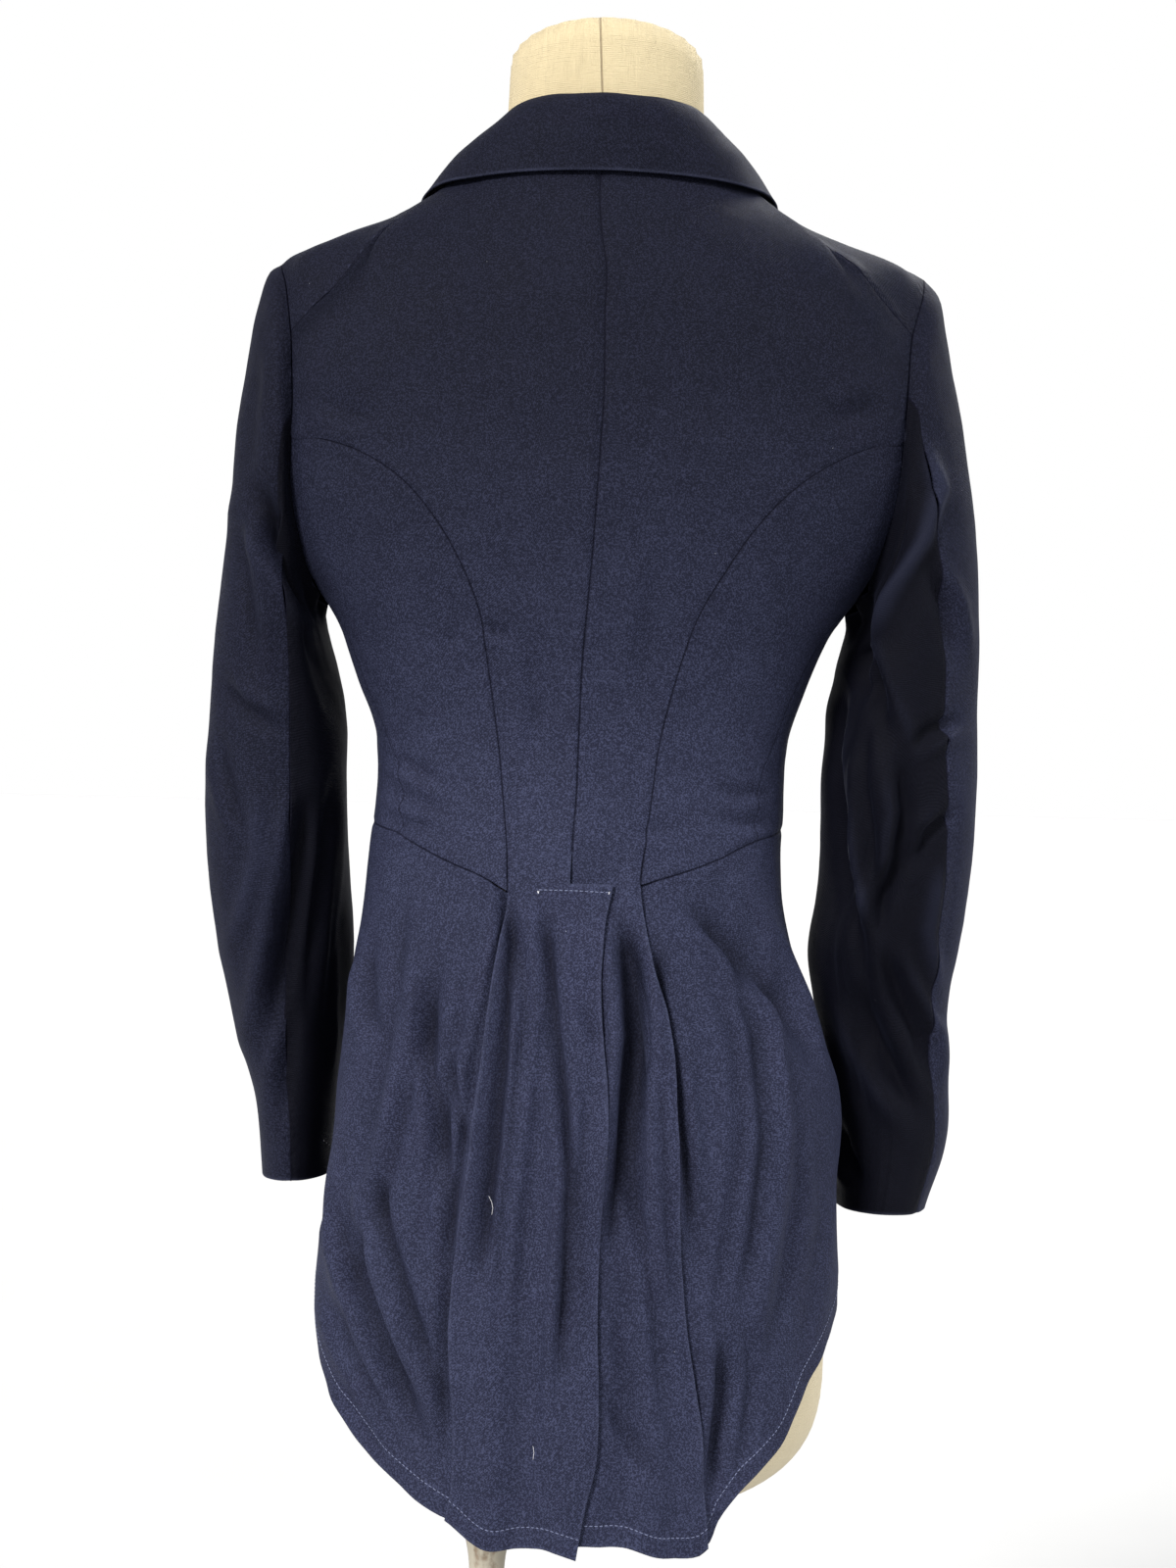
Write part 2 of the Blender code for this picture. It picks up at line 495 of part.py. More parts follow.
def fold_push(piece, angle, height):
    """How far the folds of a piece move its wall out."""
    push = np.zeros_like(angle)
    for name, top_angle, top, bottom_angle, bottom, width, ridge in FOLDS:
        if name != piece:
            continue
        share = (height - bottom) / (top - bottom)
        line = bottom_angle + (top_angle - bottom_angle) * share
        slant = math.radians(top_angle - bottom_angle) * FOLD_RADIUS / (top - bottom)
        away = np.radians(angle - line) * FOLD_RADIUS / math.hypot(1.0, slant)
        fade = ease(share / FOLD_FADE) * ease((1 - share) / FOLD_FADE)
        push += ridge * fade * np.exp(-((2 * away / width) ** 2))
    return push


def spread(points, axis, first, last):
    """Draws the first and last rows or columns in from their seams by half of the seam's gap."""
    points = np.moveaxis(points, axis, 0).copy()
    if first:
        points[0] += unit(points[1] - points[0]) * SEAM_GAP / 2
    if last:
        points[-1] += unit(points[-2] - points[-1]) * SEAM_GAP / 2
    return np.moveaxis(points, 0, axis)


def wall(name, outside, inside, cells, finish):
    """A closed wall between two grids of points. Cells says which squares of the grid are cloth."""
    shape = bmesh.new()
    corners = {}

    def corner(row, column, layer):
        key = (row, column, layer)
        if key not in corners:
            corners[key] = shape.verts.new((outside, inside)[layer][row, column])
        return corners[key]

    rows, columns = cells.shape
    for row in range(rows):
        for column in range(columns):
            if not cells[row, column]:
                continue
            square = ((row, column), (row, column + 1), (row + 1, column + 1), (row + 1, column))
            shape.faces.new([corner(*spot, 0) for spot in square])
            shape.faces.new([corner(*spot, 1) for spot in reversed(square)])
            beyond = ((row - 1, column), (row, column + 1), (row + 1, column), (row, column - 1))
            for k, (r, c) in enumerate(beyond):
                if 0 <= r < rows and 0 <= c < columns and cells[r, c]:
                    continue
                a, b = square[k], square[(k + 1) % 4]
                shape.faces.new([corner(*a, 1), corner(*b, 1), corner(*b, 0), corner(*a, 0)])
    bmesh.ops.triangulate(shape, faces=shape.faces)
    return finished(name, shape, finish)


def finished(name, shape, finish):
    """Makes the object of a closed shape, facing outwards and smooth but for its sharp edges."""
    if shape.calc_volume(signed=True) < 0:
        bmesh.ops.reverse_faces(shape, faces=shape.faces)
    mesh = bpy.data.meshes.new(name)
    shape.to_mesh(mesh)
    shape.free()
    made = bpy.data.objects.new(name, mesh)
    bpy.context.scene.collection.objects.link(made)
    mesh.materials.append(finish)
    mesh.shade_smooth()
    mesh.set_sharp_from_angle(angle=SHARP_ANGLE)
    return made


def on_body(name, grid, laps=()):
    """A grid's points on the coat's surface with the piece's folds, and the outward directions there.

    Each lap is the piece that lies over this one, with how far each point has gone under it, 0 to 1.
    """
    angle, height = grid[..., 0], grid[..., 1]
    normal = body_normal(angle, height)
    push = fold_push(name, angle, height)
    for over, under in laps:
        push = push * (1 - under) + (fold_push(over, angle, height) - LAP_DROP) * under
    return body_point(angle, height) + normal * push[..., None], normal


def gone_under(degrees_past):
    """How far a wall has gone under another one, from the angle by which it is past that one's edge."""
    past = np.radians(degrees_past) * FOLD_RADIUS
    return ease((past + LAP_RAMP) / LAP_RAMP)


def body_panel(name, grid, finish, laps=(), gaps=(True, True, True, True)):
    """A piece of cloth on the coat's surface. Gaps are for its bottom, top, inner and outer edges."""
    outside, normal = on_body(name, grid, laps)
    outside = spread(outside, 0, gaps[0], gaps[1])
    outside = spread(outside, 1, gaps[2], gaps[3])
    cells = np.ones((grid.shape[0] - 1, grid.shape[1] - 1), bool)
    return wall(name, outside, outside - normal * WALL, cells, finish)


def signed(points, sign):
    """Turns (angle, height) points of one side's table to that side."""
    return np.array(points, float) * (sign, 1.0)


def seam(rows, count, sign=1):
    """A seam's points, evenly spaced, from rows of (height, angle)."""
    return signed(even_points(np.array(rows)[:, ::-1], count), sign)


def seam_part(rows, low, high, count, sign):
    """A stretch of a (height, angle) seam between two heights."""
    heights = np.linspace(low, high, CURVE_SAMPLES)
    return signed(even_points(np.column_stack([angle_of(rows, heights), heights]), count), sign)


def edge_part(rows, start, end, count):
    """A stretch of an (angle, height) edge between two angles."""
    angles = np.linspace(start, end, CURVE_SAMPLES)
    heights = smooth_table(rows, angles)[..., 0]
    return even_points(np.column_stack([angles, heights]), count)


def side_edges(side, sign):
    """Every seam of one side of the coat, as (angle, height) points."""
    turns = arm_turns(side)
    loop = signed(armhole(turns), sign)
    arm_back = loop[: ARM_BACK_STEPS + 1][::-1]
    arm_side = loop[ARM_BACK_STEPS : ARM_BACK_STEPS + ARM_SIDE_STEPS + 1]
    arm_front = loop[ARM_BACK_STEPS + ARM_SIDE_STEPS :]
    own_loop = armhole(turns)
    princess = list(PRINCESS[side]) + [tuple(own_loop[ARM_BACK_STEPS][::-1])]
    side_seam = list(SIDE_SEAM[side]) + [tuple(own_loop[ARM_BACK_STEPS + ARM_SIDE_STEPS][::-1])]
    shoulder = [tuple(own_loop[0][::-1])] + list(SHOULDER_SEAM[side]) + [NECK_END]
    waist_corner = WAIST_SEAM_BACK[side][-1]
    waist_front = [waist_corner] + list(WAIST_SEAM_FRONT[1:])
    return {
        "arm_back": arm_back,
        "arm_side": arm_side,
        "arm_front": arm_front,
        "princess": seam(princess, SEAM_ROWS, sign),
        "side_seam": seam(side_seam, SEAM_ROWS, sign),
        "shoulder": seam(shoulder, SHOULDER_STEPS, sign),
        "waist_side": seam(WAIST_SEAM_BACK[side], ARM_SIDE_STEPS, sign),
        "waist_front": seam(waist_front, SHOULDER_STEPS + NECK_FRONT_STEPS, sign),
        "neck_front": seam((NECK_END, NECK_SIDE), NECK_FRONT_STEPS, sign),
    }


def join(*parts):
    """Runs of points that follow each other, without their doubled ends."""
    return np.concatenate([parts[0]] + [part[1:] for part in parts[1:]])


def column_beside(grid, column, share):
    """Puts a new column between a column and the next one."""
    new = grid[:, column] * (1 - share) + grid[:, column + 1] * share
    return np.insert(grid, column + 1, new, axis=1)


def back_grid(side, sign, edges):
    """A back with its tail, and beyond the centre line the columns of the vent's flap or underlap."""
    hem, centre = HEM[side], CENTRE_SEAM[side]
    foot, pleat_foot = TAIL_CENTRE[side][0][1], PLEAT[side][0][1]
    bottom = signed(edge_part(hem, foot, pleat_foot, NECK_BACK_STEPS + SHOULDER_STEPS), sign)
    tail = block(bottom, None, seam(TAIL_CENTRE[side], TAIL_ROWS, sign), seam(PLEAT[side], TAIL_ROWS, sign))
    low = seam_part(centre, centre[0][0], YOKE_HEIGHT, SEAM_ROWS, sign)
    middle = block(tail[-1], None, low, edges["princess"])
    neck = seam((centre[-1], NECK_END), NECK_BACK_STEPS, sign)
    high = seam_part(centre, YOKE_HEIGHT, centre[-1][0], ARM_BACK_STEPS, sign)
    yoke = block(middle[-1], join(neck, edges["shoulder"][::-1]), high, edges["arm_back"])
    grid = join(tail, middle, yoke)
    inner = grid[:, 0]
    free = inner.copy()
    free[:, 0] = sign * angle_of(VENT[side], np.minimum(inner[:, 1], WAIST_STEP))
    share = np.linspace(0.0, 1.0, FLAP_STEPS + 1)[:-1][None, :, None]
    flap = free[:, None] * (1 - share) + inner[:, None] * share
    flap[0, :, 1] = smooth_table(hem, sign * flap[0, :, 0])[..., 0]
    return np.concatenate([flap, grid], axis=1)


def back_piece(side, sign, edges, finish):
    """The left back carries the vent's flap; the right back runs under it."""
    grid = back_grid(side, sign, edges)
    cells = np.ones((grid.shape[0] - 1, grid.shape[1] - 1), bool)
    cells[TAIL_ROWS:, :FLAP_STEPS] = False
    laps = []
    if side == "right":
        vent = angle_of(VENT["left"], np.minimum(grid[..., 1], WAIST_STEP))
        below = 1 - ease((grid[..., 1] - WAIST_STEP) / VENT_RISE)
        laps = [("back_left", gone_under(grid[..., 0] - vent) * below)]
    outside, normal = on_body(f"back_{side}", grid, laps)
    outside = spread(outside, 0, False, True)
    outside = spread(outside, 1, False, True)
    above, centre = slice(TAIL_ROWS + 1, None), FLAP_STEPS
    outside[above, centre] += unit(outside[above, centre + 1] - outside[above, centre]) * SEAM_GAP / 2
    return wall(f"back_{side}", outside, outside - normal * WALL, cells, finish)


def front_grid(side, sign, edges):
    """A front in two blocks, below and beside the armhole, from the side seam to the front edge."""
    columns = SHOULDER_STEPS + NECK_FRONT_STEPS
    low = seam_part(FRONT_EDGE, FRONT_EDGE[0][0], CHEST_HEIGHT, SEAM_ROWS, sign)
    high = seam_part(FRONT_EDGE, CHEST_HEIGHT, FRONT_EDGE[-1][0], ARM_FRONT_STEPS, sign)
    chest = [edges["side_seam"][-1] * (sign, 1.0), *CHEST_ROW, low[-1] * (sign, 1.0)]
    chest = signed(even_points(chest, columns), sign)
    lower = block(edges["waist_front"], chest, edges["side_seam"], low)
    upper = block(chest, join(edges["shoulder"], edges["neck_front"]), edges["arm_front"], high)
    return join(lower, upper)


def front_laps(side, grid):
    """The left front and skirt run under the right ones at the centre front."""
    if side == "right":
        return []
    over = 360.0 - angle_of(FRONT_EDGE, np.maximum(grid[..., 1], FRONT_EDGE[0][0]))
    return [("front_right", gone_under(grid[..., 0] - over + FRONT_LAP_EARLY))]


def skirt_grid(side, sign, edges):
    """A skirt from its pleat to its front edge, with one more column that runs under the tail."""
    hem = HEM[side]
    columns = ARM_SIDE_STEPS + SHOULDER_STEPS + NECK_FRONT_STEPS
    bottom = signed(edge_part(hem, PLEAT[side][0][1], SKIRT_FRONT_EDGE[0][1], columns), sign)
    inner = seam(PLEAT[side], TAIL_ROWS, sign)
    outer = seam(SKIRT_FRONT_EDGE, TAIL_ROWS, sign)
    top = join(edges["waist_side"], edges["waist_front"])
    grid = patch(bottom, top, inner, outer, SKIRT_BEND_FADE)
    grid = column_beside(grid, 0, PLEAT_TURN)
    below = (inner[-1, 1] - inner[:, 1]) / PLEAT_TUCK_LENGTH
    tuck = PLEAT_TUCK_TOP + (PLEAT_TUCK_LOW - PLEAT_TUCK_TOP) * ease(below)
    hidden = inner.copy()
    hidden[:, 0] -= sign * np.degrees(tuck / FOLD_RADIUS)
    return np.concatenate([hidden[:, None], grid], axis=1)


def skirt_laps(side, sign, grid):
    """A skirt runs under the tail at its pleat, and the left one also under the right one in front."""
    pleat = angle_of(PLEAT[side], grid[..., 1])
    return [(f"back_{side}", gone_under(pleat - sign * grid[..., 0]))] + front_laps(side, grid)


def lapel_piece(side, sign, finish):
    """A lapel that lies on its front, from its roll to its outer edge and up to the notch."""
    rows, roll, edge = LAPEL_ROWS, LAPEL_ROLL[side], LAPEL_EDGE[side]
    top = join(seam((roll[-1], LAPEL_NOTCH), 2, sign), seam((edge[-1], LAPEL_NOTCH), 2, sign)[::-1])
    bottom = signed(np.linspace(roll[0][::-1], edge[0][::-1], len(top)), sign)
    grid = patch(bottom, top, seam(roll, rows, sign), seam(edge, rows, sign))
    outside, normal = on_body(f"lapel_{side}", grid)
    outside = outside + normal * LAPEL_LIFT
    cells = np.ones((grid.shape[0] - 1, grid.shape[1] - 1), bool)
    return wall(f"lapel_{side}", outside, outside - normal * WALL, cells, finish)


# ---------------------------------------------------------------- sleeves
def ring_normal(points, middle):
    """Outward directions on a sleeve, whose rows are closed rings."""
    around = np.roll(points, -1, axis=1) - np.roll(points, 1, axis=1)
    normal = unit(np.cross(around, np.gradient(points, axis=0)))
    outward = np.sum(normal * (points - middle[:, None]), axis=-1, keepdims=True)
    return normal * np.sign(outward)


def sleeve_surface(side, sign):
    """Rings from the armhole to the cuff, and the outward direction at each of their points."""
    outer_x, outer_z, inner_x, inner_z, middle_y, half_depth, hind_angle = np.array(SLEEVES[side]).T
    row = np.arange(len(outer_x))
    loop_turns = arm_turns(side)[:-1]
    step = np.arange(SLEEVE_STEPS) - HIND_STEP[side]
    blend = ease(row / ARM_TURN_ROWS)[:, None]
    even_turns = hind_angle[:, None] + 360.0 / SLEEVE_STEPS * step[None]
    turns = loop_turns[None] * (1 - blend) + even_turns * blend
    turn = np.radians(turns)
    outer = np.column_stack([outer_x * sign, middle_y, outer_z])
    inner = np.column_stack([inner_x * sign, middle_y, inner_z])
    middle, half = (outer + inner) / 2, (outer - inner) / 2
    power = 2 / SLEEVE_SQUARENESS
    along = np.sign(np.cos(turn)) * np.abs(np.cos(turn)) ** power
    forth = np.sign(np.sin(turn)) * np.abs(np.sin(turn)) ** power
    points = middle[:, None] + half[:, None] * along[..., None]
    points[..., 1] += half_depth[:, None] * forth
    loop = signed(armhole(loop_turns), sign)
    error = body_point(loop[:, 0], loop[:, 1]) - points[0]
    fade = np.clip(1 - row / ARM_SHAPE_ROWS, 0.0, 1.0) ** 2
    points = points + error[None] * fade[:, None, None]
    normal = ring_normal(points, middle)
    share = np.linspace(0.0, 1.0, len(row))[:, None]
    push = np.zeros(turns.shape)
    for name, fold_turn, place, reach, length, ridge in SLEEVE_FOLDS:
        if name == side:
            apart = (turns - fold_turn + 180.0) % 360.0 - 180.0
            push += ridge * np.exp(-((apart / reach) ** 2) - ((share - place) / length) ** 2)
    points = points + normal * push[..., None]
    return points, ring_normal(points, middle)


def sleeve_pieces(side, sign, finish):
    """A sleeve's under and top pieces, each a run of the rings' points."""
    points, normal = sleeve_surface(side, sign)
    points[0] += unit(points[1] - points[0]) * ARM_GAP
    fore, hind = FORE_STEP, HIND_STEP[side]
    runs = {"under": np.arange(hind, fore + 1), "top": np.arange(fore, hind + SLEEVE_STEPS + 1)}
    for name, run in runs.items():
        run = run % SLEEVE_STEPS
        outside = spread(points[:, run], 1, True, True)
        cells = np.ones((len(outside) - 1, len(run) - 1), bool)
        wall(f"sleeve_{name}_{side}", outside, outside - normal[:, run] * WALL, cells, finish)


# ---------------------------------------------------------------- collar
def collar_piece(finish):
    """One folded sheet: up from the neck seam as the stand, over the roll and down as the fall."""
    place = np.linspace(-1.0, 1.0, 2 * COLLAR_STEPS + 1)
    keys = np.linspace(0.0, 1.0, len(COLLAR))
    read = smooth_table(np.column_stack([keys, COLLAR]), np.abs(place))
    side = np.where(place < 0, -1.0, 1.0)
    up = np.array([0.0, 0.0, 1.0])
    seam_line = body_point(side * read[:, 0], read[:, 1]) + up * COLLAR_FOOT
    roll = np.column_stack([side * read[:, 2], read[:, 3], read[:, 4]])
    edge = body_point(side * read[:, 5], read[:, 6])
    edge = edge + body_normal(side * read[:, 5], read[:, 6]) * FALL_LIFT
    out = unit((edge - seam_line) * (1.0, 1.0, 0.0) + (roll * (1.0, 1.0, 0.0)) * COLLAR_LEAN)
    rise = roll - seam_line
    radius = np.minimum(COLLAR_ROLL_RADIUS, np.linalg.norm(rise, axis=1) * COLLAR_ROLL_SHARE)[:, None]
    before = roll - up * radius
    after = roll + out * radius * 2 - up * radius
    belly = (after + edge) / 2 + unit(np.cross(np.gradient(edge, axis=0), edge - after)) * COLLAR_BELLY
    columns = (seam_line, (seam_line + before) / 2, before, roll + out * radius, after, belly, edge)
    outside = np.stack(columns, axis=1)
    normal = unit(np.cross(np.gradient(outside, axis=0), np.gradient(outside, axis=1)))
    if normal[COLLAR_STEPS, -1] @ up < 0:
        normal = -normal
    cells = np.ones((outside.shape[0] - 1, outside.shape[1] - 1), bool)
    return wall("collar", outside, outside - normal * WALL, cells, finish)


# ---------------------------------------------------------------- turned and lofted pieces
def lofted(name, rings, finish):
    """A closed body through rings of equally many points, capped at both ends."""
    shape = bmesh.new()
    loops = [[shape.verts.new(point) for point in ring] for ring in rings]
    for low, high in zip(loops, loops[1:]):
        for k in range(len(low)):
            after = (k + 1) % len(low)
            shape.faces.new((low[k], low[after], high[after], high[k]))
    shape.faces.new(loops[0][::-1])
    shape.faces.new(loops[-1])
    return finished(name, shape, finish)


def turned(name, profile, sides, finish, centre=(0.0, 0.0, 0.0)):
    """A closed body turned round a vertical axis from (radius, height) points; its ends lie on the axis."""
    shape = bmesh.new()
    line = [shape.verts.new((radius, 0.0, height)) for radius, height in profile]
    edges = [shape.edges.new(pair) for pair in zip(line, line[1:])]
    bmesh.ops.spin(
        shape, geom=line + edges, angle=2 * math.pi, steps=sides, axis=(0, 0, 1), cent=(0, 0, 0),
    )
    bmesh.ops.remove_doubles(shape, verts=shape.verts, dist=MERGE_DISTANCE)
    bmesh.ops.recalc_face_normals(shape, faces=shape.faces)
    made = finished(name, shape, finish)
    made.location = centre
    return made


def form_rings():
    """The form's outline at each height of its table."""
    turn = np.linspace(0.0, 2 * math.pi, FORM_SIDES, endpoint=False)
    for height, half, behind, before, shift, square in FORM_RINGS:
        power = 2 / square
        depth = np.where(np.cos(turn) >= 0, behind, before)
        x = shift + half * np.sign(np.sin(turn)) * np.abs(np.sin(turn)) ** power
        y = depth * np.sign(np.cos(turn)) * np.abs(np.cos(turn)) ** power
        slant = NECK_SLANT if height > NECK_SLANT_FROM else 0.0
        yield np.column_stack([x, y, height + slant * y])


def build_form(linen, paint):
    """The padded form with its flange, post and base."""
    lofted("form_body", list(form_rings()), linen)
    turned("stand_flange", FLANGE_PROFILE, POST_SIDES, paint, (POST_X, 0.0, 0.0))
    turned("stand_post", POST_PROFILE, POST_SIDES, paint, (POST_X, 0.0, 0.0))
    turned("stand_base", BASE_PROFILE, BASE_SIDES, paint, (POST_X, 0.0, 0.0))


# ---------------------------------------------------------------- buttons
def button_piece(number, height, finish):
    """A dished button that lies on the right front at the centre front."""
    profile = [(share * BUTTON_RADIUS, level * BUTTON_THICKNESS) for share, level in BUTTON_PROFILE]
    made = turned(f"button_front_{number}", profile, BUTTON_SIDES, finish)
    level = np.array(height)
    normal = body_normal(FRONT_MIDDLE, level)
    made.location = body_point(FRONT_MIDDLE, level) + normal * BUTTON_GAP
    made.rotation_mode = "QUATERNION"
    made.rotation_quaternion = mathutils.Vector(normal).to_track_quat("Z", "Y")
    return made


# ---------------------------------------------------------------- the whole coat
def build_coat(cloth, button):
    """Every piece of cloth, side by side, and the buttons."""
    for side, sign in (("left", 1), ("right", -1)):
        edges = side_edges(side, sign)
        back_piece(side, sign, edges, cloth)
        grid = patch(edges["waist_side"], edges["arm_side"][::-1], edges["princess"], edges["side_seam"])
        body_panel(f"side_back_{side}", grid, cloth)
        grid = front_grid(side, sign, edges)
        body_panel(f"front_{side}", grid, cloth, front_laps(side, grid), (True, True, True, False))
        grid = skirt_grid(side, sign, edges)
        body_panel(f"skirt_{side}", grid, cloth, skirt_laps(side, sign, grid), (False, True, False, False))
        sleeve_pieces(side, sign, cloth)
        lapel_piece(side, sign, cloth)
    collar_piece(cloth)
    for number, height in enumerate(BUTTON_HEIGHTS, 1):
        button_piece(number, height, button)


build_coat(
    material("navy_cotton", CLOTH_COLOUR, 0.75),
    material("dark_button", BUTTON_COLOUR, 0.35),
)
build_form(
    material("cream_linen", LINEN_COLOUR, 0.85),
    material("painted_wood", PAINT_COLOUR, 0.70),
)
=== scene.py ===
# %% [markdown]
# # A navy tailcoat on a dress form
#
# The real thing is a thin cotton tailcoat that hangs on a padded linen form, seen from behind.
# Its solids are already packed, so they are loaded here as a fixed frame, and every visible piece
# is built on them.

import json
import math

import bpy
import numpy as np
from mathutils import Matrix, Vector, noise
from mathutils.kdtree import KDTree

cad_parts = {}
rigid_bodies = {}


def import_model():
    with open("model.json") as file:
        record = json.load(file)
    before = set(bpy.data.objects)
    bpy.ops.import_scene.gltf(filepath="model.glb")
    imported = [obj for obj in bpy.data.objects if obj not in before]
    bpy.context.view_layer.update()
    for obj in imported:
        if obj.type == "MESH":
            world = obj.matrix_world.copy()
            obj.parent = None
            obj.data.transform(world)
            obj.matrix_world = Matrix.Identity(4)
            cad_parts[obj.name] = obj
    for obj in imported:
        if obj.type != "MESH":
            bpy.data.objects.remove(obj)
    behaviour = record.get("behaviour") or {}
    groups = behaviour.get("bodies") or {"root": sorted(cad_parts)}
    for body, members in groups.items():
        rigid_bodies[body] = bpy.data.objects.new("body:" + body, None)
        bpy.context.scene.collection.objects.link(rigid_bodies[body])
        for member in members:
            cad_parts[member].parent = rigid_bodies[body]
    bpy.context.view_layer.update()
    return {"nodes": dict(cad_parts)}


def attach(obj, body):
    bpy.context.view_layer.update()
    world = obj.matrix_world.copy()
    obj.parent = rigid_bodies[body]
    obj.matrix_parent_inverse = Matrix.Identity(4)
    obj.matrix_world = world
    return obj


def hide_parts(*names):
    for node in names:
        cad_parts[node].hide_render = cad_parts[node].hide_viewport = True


for item in list(bpy.data.objects):
    bpy.data.objects.remove(item, do_unlink=True)
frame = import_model()

# %% [markdown]
# ## The camera
#
# The coat is photographed level, from straight behind, with the camera turned by a little more than
# one degree. The camera comes first, because the creases further down are measured in
# the same picture, 1200 by 1600 dots large, and one helper turns any point into its place there.

# %% Place the camera
CAMERA_PLACE = Vector((0.0018, 1.5, 1.0))
METRES_PER_DOT = 0.000595  # at the middle of the form
PICTURE = (1200, 1600)
CAMERA_ROLL = math.radians(1.3)
SENSOR = 36.0


def placed(name, data):
    """A new object in the scene, for a mesh, a camera or a light."""
    made = bpy.data.objects.new(name, data)
    bpy.context.scene.collection.objects.link(made)
    return made


camera_data = bpy.data.cameras.new("camera")
camera_data.sensor_width = SENSOR
camera_data.lens = SENSOR * CAMERA_PLACE.y / (PICTURE[1] * METRES_PER_DOT)
camera = placed("camera", camera_data)
across = Vector((-math.cos(CAMERA_ROLL), 0.0, math.sin(CAMERA_ROLL)))
upright = Vector((math.sin(CAMERA_ROLL), 0.0, math.cos(CAMERA_ROLL)))
camera.matrix_world = Matrix.Translation(CAMERA_PLACE) @ Matrix(
    (across, upright, Vector((0.0, 1.0, 0.0)))
).transposed().to_4x4()
bpy.context.scene.camera = camera
print(f"a {camera_data.lens:.1f} mm lens, {CAMERA_PLACE.y} m behind the coat")


def picture_place(points, facing):
    """Where points show in the picture from behind (facing 1), or from the front in a mirror (-1)."""
    nearer = CAMERA_PLACE.y / (CAMERA_PLACE.y - facing * points[:, 1])
    aside = (CAMERA_PLACE.x - points[:, 0]) * nearer
    above = (points[:, 2] - CAMERA_PLACE.z) * nearer
    right = aside * math.cos(CAMERA_ROLL) + above * math.sin(CAMERA_ROLL)
    up = above * math.cos(CAMERA_ROLL) - aside * math.sin(CAMERA_ROLL)
    from_middle = np.column_stack([right, -up]) / METRES_PER_DOT
    return from_middle + np.array(PICTURE) / 2


# %% [markdown]
# ## Writing materials as sums
#
# A woven cloth is a few waves and some noise, added and multiplied. One small class lets these be
# written as plain sums: each operator on a value adds a Math node. Any other node comes from one
# method that takes its kind, its settings and what goes into it.

# %% A value that can be added and multiplied
class Value:
    """A number or colour that changes over a surface."""

    def __init__(self, nodes, socket):
        self.nodes = nodes
        self.socket = socket

    def math(self, operation, *others):
        return self.nodes.math(operation, self, *others)

    def __add__(self, other):
        return self.math("ADD", other)

    __radd__ = __add__

    def __sub__(self, other):
        return self.math("SUBTRACT", other)

    def __rsub__(self, other):
        return self.nodes.math("SUBTRACT", other, self)

    def __mul__(self, other):
        return self.math("MULTIPLY", other)

    def wave(self):
        """A sine that runs from 0 to 1."""
        return self.math("SINE") * 0.5 + 0.5

    def step(self, low, high):
        """0 below low, 1 above high, and a smooth rise between."""
        made = self.nodes.node(
            "ShaderNodeMapRange",
            {"interpolation_type": "SMOOTHSTEP"},
            {"Value": self, "From Min": low, "From Max": high},
        )
        return Value(self.nodes, made.outputs["Result"])


# %% A tree of nodes
class Nodes:
    """The nodes of a material or of the world, and the ways in which they are added."""

    def __init__(self, tree):
        self.tree = tree

    def feed(self, node, inputs):
        """Gives sockets of a node a steady value, or links a changing one to them."""
        for name, value in dict(inputs).items():
            if isinstance(value, Value):
                value = value.socket
            if isinstance(value, bpy.types.NodeSocket):
                self.tree.links.new(value, node.inputs[name])
            else:
                node.inputs[name].default_value = value

    def node(self, kind, settings=(), inputs=()):
        """Adds a node: its settings first, and then the values or links of its sockets."""
        made = self.tree.nodes.new(kind)
        for name, value in dict(settings).items():
            setattr(made, name, value)
        self.feed(made, inputs)
        return made

    def math(self, operation, *values):
        made = self.node("ShaderNodeMath", {"operation": operation}, dict(enumerate(values)))
        return Value(self, made.outputs[0])

    def parts(self, vector):
        """The three parts of a place, as values."""
        split = self.node("ShaderNodeSeparateXYZ", (), {"Vector": vector})
        return [Value(self, split.outputs[axis]) for axis in "XYZ"]


